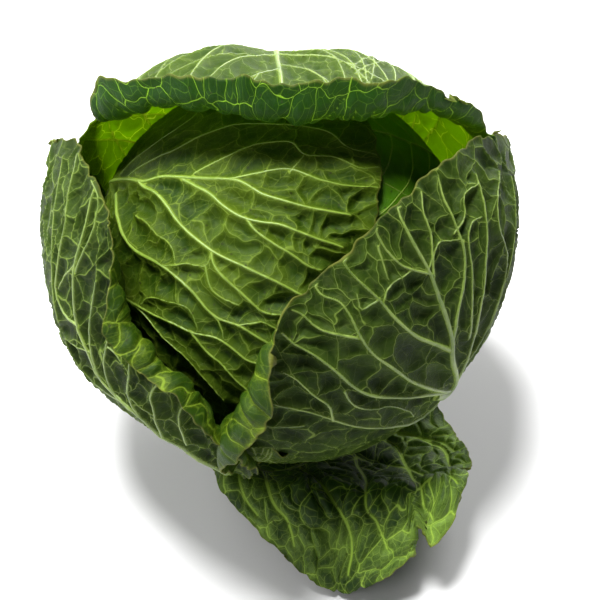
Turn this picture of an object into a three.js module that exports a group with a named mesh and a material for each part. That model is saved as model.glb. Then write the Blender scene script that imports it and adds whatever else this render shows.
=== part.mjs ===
/*
 * A savoy cabbage head as it was cut: a short stalk, a tight round heart, the
 * leaves that wrap the heart, and the loose wrapper leaves that stand away
 * from it.
 *
 * Units are millimetres, +Z is up, and the origin is the middle of the
 * stalk's cut face, on which the head stands. The front is -Y.
 *
 * A leaf is a closed sheet. Its blade is a disk: [0, 1] is its tip, [0, -1]
 * its base and [1, 0] its right margin, seen from outside with the tip up.
 * The disk is laid over the heart like a cloth over a ball. Every point then
 * takes its distance from the heart's centre from the leaf's table of radii,
 * and a margin may roll back on itself.
 */
import * as THREE from "three";

// Driving dimensions.
const HEART_CENTRE_HEIGHT = 99;
const HEART_RADIUS = 78;
const LEAF_THICKNESS = 1.6;
const STALK_CUT_RADIUS = 16;
const STALK_WAIST_RADIUS = 14.5;
const STALK_TOP_HEIGHT = 20.4;

// How finely the solids are faceted.
const HEART_SEGMENTS = 28;
const STALK_SEGMENTS = 24;

const HEART_CENTRE = new THREE.Vector3(0, 0, HEART_CENTRE_HEIGHT);
const RING_STEP = Math.PI / 6;
const TABLE_CELLS = 4;

/** Catmull-Rom value between p1 and p2. */
function cubic(p0, p1, p2, p3, t) {
  const slope1 = (p2 - p0) / 2;
  const slope2 = (p3 - p1) / 2;
  const t2 = t * t;
  const t3 = t2 * t;
  return (
    (2 * t3 - 3 * t2 + 1) * p1 +
    (t3 - 2 * t2 + t) * slope1 +
    (3 * t2 - 2 * t3) * p2 +
    (t3 - t2) * slope2
  );
}

/** Value at a turn about the blade of twelve numbers that stand clockwise from the tip, 30 degrees apart. */
function ringAt(ring, turn) {
  const place = (((turn / RING_STEP) % 12) + 12) % 12;
  const i = Math.floor(place);
  const at = (k) => ring[(k + 12) % 12];
  return cubic(at(i - 1), at(i), at(i + 1), at(i + 2), place - i);
}

/** Value of a 5 x 5 table at x (left to right) and y (base to tip), both -1 to 1. */
function tableAt(rows, x, y) {
  const inside = (v) => Math.min(Math.max(v, 0), TABLE_CELLS);
  const px = inside(((x + 1) * TABLE_CELLS) / 2);
  const py = inside(((y + 1) * TABLE_CELLS) / 2);
  const ix = Math.min(Math.floor(px), TABLE_CELLS - 1);
  const iy = Math.min(Math.floor(py), TABLE_CELLS - 1);
  const along = (row) => {
    const at = (k) => row[inside(k)];
    return cubic(at(ix - 1), at(ix), at(ix + 1), at(ix + 2), px - ix);
  };
  const rowAt = (k) => along(rows[inside(k)]);
  return cubic(rowAt(iy - 1), rowAt(iy), rowAt(iy + 1), rowAt(iy + 2), py - iy);
}

/** Unit vector at an azimuth, turned from the front towards +X, and a latitude, in degrees. */
function direction(azimuth, latitude) {
  const a = THREE.MathUtils.degToRad(azimuth);
  const l = THREE.MathUtils.degToRad(latitude);
  return new THREE.Vector3(
    Math.sin(a) * Math.cos(l),
    -Math.cos(a) * Math.cos(l),
    Math.sin(l),
  );
}

/** The middle, tip and right directions of a leaf's blade. */
function bladeAxes(leaf) {
  const middle = direction(...leaf.face);
  const up = new THREE.Vector3(0, 0, 1);
  const tip = up.addScaledVector(middle, -up.dot(middle)).normalize();
  tip.applyAxisAngle(middle, -THREE.MathUtils.degToRad(leaf.heading));
  const right = new THREE.Vector3().crossVectors(tip, middle);
  return { middle, tip, right };
}

/** Point of the blade's middle surface before its margin is rolled. */
function layPoint(leaf, axes, x, y) {
  const grow = ringAt(leaf.outline, Math.atan2(x, y));
  const across = leaf.halfWidth * grow * x;
  const along = leaf.halfLength * grow * y;
  const angle = Math.hypot(across, along);
  const radians = THREE.MathUtils.degToRad(angle);
  const share = angle > 1e-9 ? Math.sin(radians) / angle : 0;
  return new THREE.Vector3()
    .addScaledVector(axes.middle, Math.cos(radians))
    .addScaledVector(axes.right, across * share)
    .addScaledVector(axes.tip, along * share)
    .multiplyScalar(tableAt(leaf.radii, x, y))
    .add(HEART_CENTRE);
}

/** Point of the blade's middle surface, with its margin rolled outwards. */
function bladePoint(leaf, axes, x, y) {
  const reach = Math.hypot(x, y);
  const turn = Math.atan2(x, y);
  const width = leaf.roll ? ringAt(leaf.roll.widths, turn) : 0;
  if (width <= 0 || reach < 0.3) return layPoint(leaf, axes, x, y);

  const step = 0.02;
  const onRay = (s, t = turn) =>
    layPoint(leaf, axes, s * Math.sin(t), s * Math.cos(t));
  const span = onRay(1).distanceTo(onRay(0.8)) / 0.2;
  const start = 1 - width / span;
  if (reach <= start) return layPoint(leaf, axes, x, y);

  const from = onRay(start);
  const outward = onRay(start + step).sub(onRay(start - step)).normalize();
  const round = onRay(start, turn + step).sub(onRay(start, turn - step));
  const normal = new THREE.Vector3().crossVectors(outward, round).normalize();
  if (normal.dot(from.clone().sub(HEART_CENTRE)) < 0) normal.negate();

  const length = (reach - start) * span;
  const most = THREE.MathUtils.degToRad(leaf.roll.turn);
  const bend = Math.min(length / leaf.roll.radius, most);
  const straight = Math.max(length - leaf.roll.radius * most, 0);
  return from
    .addScaledVector(
      outward,
      leaf.roll.radius * Math.sin(bend) + straight * Math.cos(bend),
    )
    .addScaledVector(
      normal,
      leaf.roll.radius * (1 - Math.cos(bend)) + straight * Math.sin(bend),
    );
}

/** Place on the unit disk of a point of the square from -1 to 1, with rows crowded towards the margin. */
function diskPlace(u, v) {
  const crowd = (t) => t * (1.35 - 0.35 * t * t);
  const [s, t] = [crowd(u), crowd(v)];
  return [s * Math.sqrt(1 - (t * t) / 2), t * Math.sqrt(1 - (s * s) / 2)];
}

/** Closed sheet of a leaf: an outer and an inner face, joined round the margin. */
function leafGeometry(leaf) {
  const axes = bladeAxes(leaf);
  const n = leaf.steps;
  const middle = [];
  for (let j = 0; j <= n; j++)
    for (let i = 0; i <= n; i++) {
      const [x, y] = diskPlace((2 * i) / n - 1, (2 * j) / n - 1);
      middle.push(bladePoint(leaf, axes, x, y));
    }

  const at = (i, j) =>
    middle[Math.min(Math.max(j, 0), n) * (n + 1) + Math.min(Math.max(i, 0), n)];
  const outer = [];
  const inner = [];
  for (let j = 0; j <= n; j++)
    for (let i = 0; i <= n; i++) {
      const across = at(i + 1, j).clone().sub(at(i - 1, j));
      const along = at(i, j + 1).clone().sub(at(i, j - 1));
      const normal = across.cross(along).normalize();
      const half = LEAF_THICKNESS / 2;
      outer.push(at(i, j).clone().addScaledVector(normal, half));
      inner.push(at(i, j).clone().addScaledVector(normal, -half));
    }

  const points = [...outer, ...inner];
  const back = outer.length;
  const triangles = [];
  const quad = (a, b, c, d) => triangles.push(a, b, c, a, c, d);
  for (let j = 0; j < n; j++)
    for (let i = 0; i < n; i++) {
      const a = j * (n + 1) + i;
      const b = a + 1;
      const c = b + n + 1;
      const d = a + n + 1;
      quad(a, b, c, d);
      quad(back + a, back + d, back + c, back + b);
    }
  const rim = [];
  for (let i = 0; i < n; i++) rim.push(i);
  for (let j = 0; j < n; j++) rim.push(j * (n + 1) + n);
  for (let i = n; i > 0; i--) rim.push(n * (n + 1) + i);
  for (let j = n; j > 0; j--) rim.push(j * (n + 1));
  rim.forEach((a, k) => {
    const b = rim[(k + 1) % rim.length];
    quad(b, a, back + a, back + b);
  });

  const geometry = new THREE.BufferGeometry();
  geometry.setAttribute(
    "position",
    new THREE.Float32BufferAttribute(points.flatMap((p) => p.toArray()), 3),
  );
  geometry.setIndex(triangles);
  return geometry;
}

function leafMesh(leaf) {
  const material = new THREE.MeshStandardMaterial({
    color: leaf.colour,
    roughness: 0.55,
    metalness: 0,
    side: THREE.DoubleSide,
  });
  const mesh = new THREE.Mesh(leafGeometry(leaf), material);
  mesh.name = leaf.name;
  return mesh;
}

/** The tight heart, a ball a little flat at the crown and drawn in towards the stalk. */
function heartMesh() {
  const profile = [];
  const rows = HEART_SEGMENTS / 2;
  for (let k = 0; k <= rows; k++) {
    const angle = -Math.PI / 2 + (Math.PI * k) / rows;
    const radius = Math.cos(angle) * HEART_RADIUS;
    const height = Math.sin(angle) * HEART_RADIUS;
    profile.push(new THREE.Vector2(Math.max(radius, 0), height));
  }
  profile[0].x = 0;
  profile[rows].x = 0;
  const geometry = new THREE.LatheGeometry(profile, HEART_SEGMENTS);
  geometry.rotateX(Math.PI / 2);
  const mesh = new THREE.Mesh(
    geometry,
    new THREE.MeshStandardMaterial({ color: 0x8fb04a, roughness: 0.5, metalness: 0 }),
  );
  mesh.name = "heart";
  mesh.position.copy(HEART_CENTRE);
  return mesh;
}

/** The cut stalk, with a flat foot. */
function stalkMesh() {
  const profile = [
    [0, 0],
    [STALK_CUT_RADIUS, 0],
    [STALK_WAIST_RADIUS, 5],
    [STALK_WAIST_RADIUS + 0.5, 10],
    [STALK_WAIST_RADIUS + 1, STALK_TOP_HEIGHT],
    [0, STALK_TOP_HEIGHT],
  ].map(([radius, height]) => new THREE.Vector2(radius, height));
  const geometry = new THREE.LatheGeometry(profile, STALK_SEGMENTS);
  geometry.rotateX(Math.PI / 2);
  const mesh = new THREE.Mesh(
    geometry,
    new THREE.MeshStandardMaterial({ color: 0xd9dcae, roughness: 0.6, metalness: 0 }),
  );
  mesh.name = "stalk";
  return mesh;
}

const LEAVES = [
  {
    name: "rear_heart_leaf",
    colour: 0x33701c,
    face: [112, 38],
    heading: -6,
    halfWidth: 82,
    halfLength: 78,
    steps: 14,
    outline: [1, 1, 1, 1, 1, 1, 1, 1, 1, 1, 1, 1],
    radii: [
      [81, 81, 81, 81, 81],
      [81, 81, 81, 81, 81],
      [81, 81, 81, 81, 81],
      [81, 81, 81, 81, 81],
      [81, 81, 81, 81, 81],
    ],
  },
  {
    name: "front_heart_leaf",
    colour: 0x6f9a3a,
    face: [-64, 36],
    heading: 40,
    halfWidth: 84,
    halfLength: 80,
    steps: 16,
    outline: [0.97, 1.02, 1.05, 1, 1, 1, 1, 1, 1, 0.9, 0.92, 0.95],
    radii: [
      [84.5, 84.5, 84.5, 84.5, 84.5],
      [84.5, 84.5, 84.5, 84.5, 84.5],
      [84.5, 84.5, 84.5, 84.5, 84.5],
      [84.5, 84.5, 84.5, 84.5, 84.5],
      [84.5, 84.5, 84.5, 84.5, 84.5],
    ],
  },
  {
    name: "crumpled_inner_leaf",
    colour: 0x5d8f35,
    face: [-20, -38],
    heading: 0,
    halfWidth: 22,
    halfLength: 34,
    steps: 8,
    outline: [1, 1, 1, 1, 1, 1, 1, 1, 1, 1, 1, 1],
    radii: [
      [88, 88, 88, 87.8, 87.6],
      [88, 88, 88, 87.8, 87.6],
      [88.5, 88.5, 88, 87.8, 87.6],
      [90, 90, 89, 88, 87.6],
      [92, 92, 90, 88.4, 87.8],
    ],
  },
  {
    name: "hood_leaf",
    colour: 0x8fa86a,
    face: [180, 10],
    heading: 0,
    halfWidth: 78,
    halfLength: 86,
    steps: 18,
    outline: [1.12, 1.02, 0.92, 0.92, 0.92, 0.96, 0.98, 0.96, 0.92, 0.94, 0.94, 1.07],
    roll: { radius: 7, turn: 120, widths: [24, 14, 0, 0, 0, 0, 0, 0, 0, 0, 8, 22] },
    radii: [
      [88.5, 88.5, 88, 88.5, 88.5],
      [93, 91, 90, 91, 93],
      [100, 97, 94, 97, 101],
      [108, 100, 97, 105, 113],
      [114, 102, 98, 110, 118],
    ],
  },
  {
    name: "right_wrapper_leaf",
    colour: 0x44692c,
    face: [50, -12],
    heading: 0,
    halfWidth: 70,
    halfLength: 66,
    steps: 18,
    outline: [1, 1, 0.98, 1.06, 1.0, 0.98, 0.97, 0.92, 0.84, 1.02, 1.03, 1.0],
    roll: { radius: 8, turn: 150, widths: [0, 0, 0, 0, 0, 0, 0, 0, 6, 26, 18, 0] },
    radii: [
      [91, 91, 91, 92, 93],
      [91, 91, 91.5, 94.5, 98],
      [90.5, 91, 94, 99, 105],
      [91, 92, 97, 106, 114],
      [92, 93, 98, 109, 120],
    ],
  },
  {
    name: "left_wrapper_leaf",
    colour: 0x567a33,
    face: [-66, -16],
    heading: 0,
    halfWidth: 52,
    halfLength: 60,
    steps: 18,
    outline: [0.94, 0.93, 1.1, 1.1, 0.92, 0.96, 1, 1, 1.05, 1.1, 1.0, 1.0],
    roll: { radius: 6, turn: 150, widths: [2, 14, 20, 18, 2, 0, 0, 0, 0, 0, 0, 0] },
    radii: [
      [94.5, 94.5, 94.5, 94.5, 94.5],
      [98, 97, 96, 95, 94.5],
      [106, 104, 102, 98, 95],
      [113, 110, 105, 99, 97],
      [116, 114, 108, 100, 98],
    ],
  },
  {
    name: "front_wrapper_leaf",
    colour: 0x3f7a2a,
    face: [20, -56],
    heading: -4,
    halfWidth: 36,
    halfLength: 42,
    steps: 18,
    outline: [0.98, 0.88, 0.8, 0.84, 0.95, 0.62, 0.52, 0.62, 0.85, 1.0, 1.0, 1.0],
    roll: { radius: 12, turn: 84, widths: [52, 38, 6, 0, 0, 0, 0, 0, 0, 10, 30, 46] },
    radii: [
      [98.4, 98.4, 98.4, 98.4, 99],
      [98.4, 98.4, 99, 104, 111],
      [98.6, 99, 102, 112, 122],
      [99.5, 101, 106, 116, 126],
      [100, 103, 110, 118, 128],
    ],
  },
];

const cabbage = new THREE.Group();
cabbage.add(stalkMesh(), heartMesh(), ...LEAVES.map(leafMesh));

export default cabbage;
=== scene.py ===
"""Looks of a savoy-type cabbage head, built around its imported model.

Every leaf is a closed sheet. Its blade is a disk, with [0, 1] at the tip, [0, -1] at the base and
[1, 0] at the right margin, seen from outside with the tip up. The disk is laid over the heart like
a cloth over a ball, takes its distance from the heart's centre from the leaf's table of radii, and
may roll its margin back. A Geometry Nodes tree then presses the vein pattern into the sheet, and
the finishes draw the same pattern in colour, so ribs, puckers and paint always agree.

The scene is in metres and the leaves' tables are in millimetres. The vein pattern works in
centimetres along the blade: u across the midrib and v along it.
"""

import logging
import math
from dataclasses import dataclass, field
from enum import Enum

import bpy
import numpy as np
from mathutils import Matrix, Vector
from mathutils.kdtree import KDTree


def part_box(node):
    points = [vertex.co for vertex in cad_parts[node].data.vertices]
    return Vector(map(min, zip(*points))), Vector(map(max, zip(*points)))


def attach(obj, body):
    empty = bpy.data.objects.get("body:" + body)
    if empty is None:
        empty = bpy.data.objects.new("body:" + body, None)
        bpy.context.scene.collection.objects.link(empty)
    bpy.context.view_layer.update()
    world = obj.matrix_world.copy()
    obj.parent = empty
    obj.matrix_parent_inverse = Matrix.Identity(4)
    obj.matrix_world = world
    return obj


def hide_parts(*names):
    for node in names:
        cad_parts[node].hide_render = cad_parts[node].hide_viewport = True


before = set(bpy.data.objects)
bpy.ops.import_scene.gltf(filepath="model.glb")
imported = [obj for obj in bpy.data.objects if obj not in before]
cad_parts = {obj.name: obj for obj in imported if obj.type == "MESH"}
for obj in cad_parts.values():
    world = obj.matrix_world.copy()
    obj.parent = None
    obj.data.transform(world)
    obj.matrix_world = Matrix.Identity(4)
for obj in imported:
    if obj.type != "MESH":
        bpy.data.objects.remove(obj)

LOG = logging.getLogger("cabbage")
MM = 0.001
MM_PER_CM = 10
ROOT = "root"
RING_PLACES = 12
RING_STEP = math.pi / 6
TABLE_CELLS = 4
TEETH_WAVES = (19, 31, 47, 67, 89)
RUFFLE_WAVES = (7, 11, 17, 26)
DENTS = 6
DENT_MM = 9.0
HALF_NODE_MM = 0.6
RIM_SIDE = -0.2
FAR_CM = 9.0
Colour = tuple[float, float, float]
Socket = bpy.types.NodeSocket


class Skin(Enum):
    """The two faces of a leaf, with the sign each has in the "side" attribute."""

    OUTER = 1
    INNER = -1


class Slot(Enum):
    """The record's material slots."""

    STALK = "stalk_flesh"
    HEART = "heart_leaf"
    OUTER = "outer_leaf"


# ---------------------------------------------------------------------------------------------
# Wiring of node trees
# ---------------------------------------------------------------------------------------------


class Wiring:
    """Adds nodes to a shader tree or a Geometry Nodes tree, in short calls."""

    def __init__(self, tree: bpy.types.NodeTree) -> None:
        """Keeps the tree.

        Args:
            tree: the tree that the nodes are added to.
        """
        self.tree = tree

    def node(self, kind: str, **settings: object) -> bpy.types.Node:
        """Adds one node.

        Args:
            kind: the node's type name.
            settings: its properties.

        Returns:
            The new node.
        """
        made = self.tree.nodes.new(kind)
        for name, value in settings.items():
            setattr(made, name, value)
        return made

    def named(self, name: str, kind: str) -> Socket:
        """Reads a mesh attribute, in a Geometry Nodes tree.

        Args:
            name: the attribute's name.
            kind: its data type.

        Returns:
            Its value.
        """
        made = self.node("GeometryNodeInputNamedAttribute", data_type=kind)
        made.inputs["Name"].default_value = name
        return made.outputs["Attribute"]

    def feed(self, socket: Socket, value: object) -> None:
        """Links a value to an input, or sets the input to a number or colour.

        Args:
            socket: the input.
            value: another node's output, a number, a vector or a colour.
        """
        if isinstance(value, bpy.types.NodeSocket):
            self.tree.links.new(value, socket)
        else:
            socket.default_value = value

    def math(self, operation: str, *values: object, clamp: bool = False) -> Socket:
        """Adds a Math node.

        Args:
            operation: what it does.
            values: its inputs, in order.
            clamp: holds the result within 0 to 1 if true.

        Returns:
            The result.
        """
        made = self.node("ShaderNodeMath", operation=operation, use_clamp=clamp)
        for socket, value in zip(made.inputs, values):
            self.feed(socket, value)
        return made.outputs[0]

    def ramp(self, value: object, low: object, high: object, start: object = 0.0, end: object = 1.0,
             smooth: bool = True) -> Socket:
        """Maps a value from low..high to start..end, held at both ends.

        Args:
            value: the value to map.
            low, high: the span it is mapped from. low may be above high.
            start, end: the span it is mapped to.
            smooth: eases in and out if true.

        Returns:
            The mapped value.
        """
        kind = "SMOOTHSTEP" if smooth else "LINEAR"
        made = self.node("ShaderNodeMapRange", interpolation_type=kind, clamp=True)
        for socket, given in zip(made.inputs, (value, low, high, start, end)):
            self.feed(socket, given)
        return made.outputs[0]

    def split(self, vector: Socket) -> tuple[Socket, Socket, Socket]:
        """Takes a vector apart.

        Args:
            vector: the vector.

        Returns:
            Its three components.
        """
        made = self.node("ShaderNodeSeparateXYZ")
        self.feed(made.inputs[0], vector)
        return made.outputs[0], made.outputs[1], made.outputs[2]

    def join(self, x: object, y: object, z: object = 0.0) -> Socket:
        """Puts a vector together.

        Args:
            x, y, z: its components.

        Returns:
            The vector.
        """
        made = self.node("ShaderNodeCombineXYZ")
        for socket, value in zip(made.inputs, (x, y, z)):
            self.feed(socket, value)
        return made.outputs[0]

    def vector(self, operation: str, a: object, b: object = None, scale: object = None) -> Socket:
        """Adds a Vector Math node.

        Args:
            operation: what it does.
            a, b: its vectors; b may be left out.
            scale: its scale, for SCALE.

        Returns:
            The result.
        """
        made = self.node("ShaderNodeVectorMath", operation=operation)
        self.feed(made.inputs[0], a)
        if b is not None:
            self.feed(made.inputs[1], b)
        if scale is not None:
            self.feed(made.inputs["Scale"], scale)
        return made.outputs[0]

    def noise(self, vector: Socket, scale: float, detail: float = 2.0, roughness: float = 0.5,
              coloured: bool = False) -> Socket:
        """Adds soft 3-D noise.

        Args:
            vector: where it is read.
            scale: its cells in one unit of the vector.
            detail, roughness: how much finer noise is laid over it.
            coloured: gives three noises at once if true.

        Returns:
            The noise, about 0.5 in the mean.
        """
        made = self.node("ShaderNodeTexNoise", noise_dimensions="3D")
        self.feed(made.inputs["Vector"], vector)
        self.feed(made.inputs["Scale"], scale)
        self.feed(made.inputs["Detail"], detail)
        self.feed(made.inputs["Roughness"], roughness)
        return made.outputs["Color" if coloured else "Fac"]

    def cells(self, vector: Socket, feature: str, output: str, dimensions: str = "2D",
              scale: float = 1.0) -> Socket:
        """Adds a Voronoi texture.

        Args:
            vector: where it is read.
            feature: what it measures.
            output: the output that is wanted.
            dimensions: 2D or 3D.
            scale: its cells in one unit of the vector.

        Returns:
            That output.
        """
        made = self.node("ShaderNodeTexVoronoi", voronoi_dimensions=dimensions, feature=feature)
        self.feed(made.inputs["Vector"], vector)
        self.feed(made.inputs["Scale"], scale)
        made.inputs["Randomness"].default_value = 0.92
        return made.outputs[output]

    def blend(self, factor: object, a: object, b: object) -> Socket:
        """Mixes two colours.

        Args:
            factor: 0 for the first colour to 1 for the second.
            a, b: the colours.

        Returns:
            The mixed colour.
        """
        made = self.node("ShaderNodeMix", data_type="RGBA", clamp_factor=True)
        self.feed(made.inputs[0], factor)
        for socket, colour in ((made.inputs[6], a), (made.inputs[7], b)):
            self.feed(socket, (*colour, 1.0) if isinstance(colour, tuple) else colour)
        return made.outputs[2]


# ---------------------------------------------------------------------------------------------
# Veins
# ---------------------------------------------------------------------------------------------


@dataclass(frozen=True)
class Vein:
    """A main vein: its points on the disk, and its half width at both ends in millimetres."""

    points: tuple[tuple[float, float], ...]
    base: float = 0.9
    tip: float = 0.35


@dataclass(frozen=True)
class SideVeins:
    """Side veins that leave a midrib by rule.

    start and stop are shares of the midrib's length, gap is the step between them on the disk,
    angle is where they set off and bend is how they turn towards the tip, in degrees.
    """

    side: int
    start: float = 0.08
    stop: float = 0.95
    gap: float = 0.16
    angle: float = 58.0
    bend: float = 22.0
    base: float = 0.8
    limit: float = 0.95
    seed: int = 1

    def grow(self, midrib: Vein) -> list[Vein]:
        """Grows the veins.

        Args:
            midrib: the vein that they leave.

        Returns:
            The side veins, with a fork on about half of them.
        """
        rng = np.random.default_rng(self.seed)
        line = smooth_line(np.array(midrib.points), 80)
        length = np.linalg.norm(np.diff(line, axis=0), axis=1).sum()
        grown: list[Vein] = []
        place = self.start * length
        while place < self.stop * length:
            at = place / length * (len(line) - 1)
            i = min(int(at), len(line) - 2)
            way = unit(line[i + 1] - line[i])
            heading = math.atan2(way[0], way[1])
            heading += self.side * math.radians(self.angle + rng.uniform(-5, 5))
            room = 1.5 * (1 - 0.5 * place / length)
            points = self._march(line[i], heading, room, rng)
            if len(points) > 2:
                thick = self.base * (1 - 0.45 * place / length)
                grown.append(Vein(tuple(points), thick, 0.3))
                if len(points) > 4 and rng.random() < 0.7:
                    k = int(len(points) * rng.uniform(0.3, 0.55))
                    away = math.atan2(*(np.array(points[k]) - points[k - 1]))
                    away += self.side * math.radians(rng.uniform(16, 28)) * rng.choice((-1, 1))
                    fork = self._march(np.array(points[k]), away, room * 0.6, rng)
                    if len(fork) > 2:
                        grown.append(Vein(tuple(fork), thick * 0.55, 0.25))
            place += self.gap * rng.uniform(0.75, 1.3)
        return grown

    def _march(self, start: np.ndarray, heading: float, room: float,
               rng: np.random.Generator) -> list[tuple[float, float]]:
        """Walks one vein from its start until the margin.

        Args:
            start: its first point on the disk.
            heading: the way that it sets off, in radians from the tip, clockwise.
            room: its greatest length on the disk.
            rng: the plan's random numbers.

        Returns:
            Its points.
        """
        step = 0.09
        points = [tuple(start)]
        here = np.array(start, float)
        for _ in range(int(room / step)):
            here = here + step * np.array([math.sin(heading), math.cos(heading)])
            if np.hypot(*here) > self.limit:
                break
            points.append(tuple(here))
            heading -= self.side * math.radians(self.bend) * step * 2 + rng.uniform(-0.09, 0.09)
        return points


def smooth_line(points: np.ndarray, count: int) -> np.ndarray:
    """Spaces points evenly on a smooth line through given ones.

    Args:
        points: the points that the line passes.
        count: how many points are wanted.

    Returns:
        The new points.
    """
    ends = np.concatenate([[2 * points[0] - points[1]], points, [2 * points[-1] - points[-2]]])
    t = np.linspace(0, len(points) - 1, 40 * len(points))
    i = np.minimum(t.astype(int), len(points) - 2)
    f = (t - i)[:, None]
    line = cubic(ends[i], ends[i + 1], ends[i + 2], ends[i + 3], f)
    run = np.concatenate([[0], np.cumsum(np.linalg.norm(np.diff(line, axis=0), axis=1))])
    even = np.linspace(0, run[-1], count)
    return np.stack([np.interp(even, run, line[:, k]) for k in range(line.shape[1])], axis=1)


@dataclass
class NetField:
    """What the vein net says about a point of the blade. Lengths are in centimetres."""

    clear: Socket
    mesh: Socket
    fine: Socket
    pillow: Socket
    sag: Socket
    reach: Socket
    place: Socket


@dataclass(frozen=True)
class VeinNet:
    """The net of small veins between the main veins, and the hollows that it leaves."""

    cell: float = 1.15
    fine_cells: float = 2.7
    stretch: float = 1.0
    lean: float = 0.0
    hollow: float = 0.42
    trough: float = 0.6
    seed: float = 0.0

    def wire(self, w: Wiring, blade: Socket, vein: Socket) -> NetField:
        """Builds the net's nodes.

        Args:
            w: the tree's wiring.
            blade: vector of u, v and the reach from the blade's middle (0) to its margin (1).
            vein: vector whose x is the distance from the nearest main vein.

        Returns:
            The net's values at the point.
        """
        u, v, reach = w.split(blade)
        clear = w.split(vein)[0]
        place = w.join(u, v, self.seed)
        slow = w.split(w.noise(place, 0.45, 2.0, coloured=True))
        u = w.math("MULTIPLY_ADD", w.math("SUBTRACT", slow[0], 0.5), 2.2, u)
        v = w.math("MULTIPLY_ADD", w.math("SUBTRACT", slow[1], 0.5), 2.2, v)
        c, s = math.cos(math.radians(self.lean)), math.sin(math.radians(self.lean))
        a = w.math("ADD", w.math("MULTIPLY", u, c), w.math("MULTIPLY", v, s))
        b = w.math("SUBTRACT", w.math("MULTIPLY", v, c), w.math("MULTIPLY", u, s))
        net = w.join(w.math("DIVIDE", a, self.cell * self.stretch), w.math("DIVIDE", b, self.cell))
        mesh = w.math("MULTIPLY", w.cells(net, "DISTANCE_TO_EDGE", "Distance"), self.cell)
        shift = w.vector("SCALE", w.cells(net, "F1", "Color"), scale=50.0)
        small = w.vector("ADD", w.vector("SCALE", net, scale=self.fine_cells), shift)
        fine = w.math("MULTIPLY", w.cells(small, "DISTANCE_TO_EDGE", "Distance"),
                      self.cell / self.fine_cells)
        open_to = w.math("MINIMUM", w.math("MAXIMUM", clear, 0.0), mesh)
        pillow = self._dome(w, w.math("DIVIDE", open_to, self.cell * self.hollow))
        sag = self._dome(w, w.math("DIVIDE", w.math("MAXIMUM", clear, 0.0), self.trough))
        return NetField(clear, mesh, fine, pillow, sag, reach, place)

    @staticmethod
    def _dome(w: Wiring, level: Socket) -> Socket:
        """Rounds a slope off into a dome.

        Args:
            w: the tree's wiring.
            level: 0 at the dome's foot and 1 where its top begins.

        Returns:
            The dome's height, 0 to 1.
        """
        left = w.math("SUBTRACT", 1.0, w.math("MULTIPLY", level, 1.0, clamp=True))
        return w.math("SUBTRACT", 1.0, w.math("MULTIPLY", left, left))


@dataclass(frozen=True)
class Relief:
    """How deep the vein net is pressed into a leaf, in millimetres, towards its inner face.

    calm gives two places across the blade, in centimetres, and the share of the depth that is left
    before the first of them.
    """

    pillow: float = 1.6
    sag: float = 1.2
    net: float = 0.25
    crumple: float = 0.5
    calm: tuple[float, float, float] = (-99.0, -98.0, 1.0)

    def apply(self, body: bpy.types.Object, net: VeinNet,
              finishes: dict[Skin, bpy.types.Material]) -> bpy.types.Object:
        """Presses the net into a leaf with Geometry Nodes, and makes the result a plain mesh.

        Args:
            body: the smooth leaf, with the attributes blade, vein, outward and side.
            net: the vein net.
            finishes: the material of each face.

        Returns:
            The same object, with its finished mesh.
        """
        tree = bpy.data.node_groups.new("vein_relief", "GeometryNodeTree")
        tree.interface.new_socket("Geometry", in_out="INPUT", socket_type="NodeSocketGeometry")
        depths = {"Pillow Depth": self.pillow, "Sag Depth": self.sag, "Net Height": self.net,
                  "Crumple Depth": self.crumple}
        for name in depths:
            tree.interface.new_socket(name, in_out="INPUT", socket_type="NodeSocketFloat")
        tree.interface.new_socket("Geometry", in_out="OUTPUT", socket_type="NodeSocketGeometry")

        w = Wiring(tree)
        given = w.node("NodeGroupInput")
        outward = w.named("outward", "FLOAT_VECTOR")
        side = w.named("side", "FLOAT")
        found = net.wire(w, w.named("blade", "FLOAT_VECTOR"), w.named("vein", "FLOAT_VECTOR"))
        calm = w.ramp(found.reach, 0.9, 1.0, 1.0, 0.4)
        near, far, left = self.calm
        calm = w.math("MULTIPLY", calm, w.ramp(w.split(found.place)[0], near, far, left, 1.0))

        uneven = w.ramp(w.noise(found.place, 0.5, 1.0), 0.3, 0.7, 0.45, 1.35)
        pillow = w.math("MULTIPLY", found.pillow, given.outputs["Pillow Depth"])
        pillow = w.math("MULTIPLY", pillow, uneven)
        sag = w.math("MULTIPLY", found.sag, given.outputs["Sag Depth"])
        lumps = w.math("SUBTRACT", w.noise(found.place, 1.1, 2.0), 0.5)
        lumps = w.math("MULTIPLY", lumps, given.outputs["Crumple Depth"])
        sheet = w.math("SUBTRACT", lumps, w.math("ADD", pillow, sag))
        sheet = w.math("MULTIPLY", sheet, calm)
        ridge = w.ramp(found.mesh, 0.0, 0.09, given.outputs["Net Height"], 0.0)
        ridge = w.math("MULTIPLY", ridge, w.math("GREATER_THAN", side, 0.0))
        lift = w.math("MULTIPLY", w.math("ADD", sheet, ridge), MM)

        move = w.node("GeometryNodeSetPosition")
        w.feed(move.inputs["Geometry"], given.outputs["Geometry"])
        w.feed(move.inputs["Offset"], w.vector("SCALE", outward, scale=lift))
        real = w.node("GeometryNodeRealizeInstances")
        w.feed(real.inputs["Geometry"], move.outputs[0])
        geometry = real.outputs[0]
        for skin, compare in ((Skin.OUTER, "GREATER_THAN"), (Skin.INNER, "LESS_THAN")):
            paint = w.node("GeometryNodeSetMaterial")
            w.feed(paint.inputs["Geometry"], geometry)
            w.feed(paint.inputs["Selection"], w.math(compare, side, RIM_SIDE))
            paint.inputs["Material"].default_value = finishes[skin]
            geometry = paint.outputs[0]
        w.feed(w.node("NodeGroupOutput").inputs[0], geometry)
        return run_tree(body, tree, depths)


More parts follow.
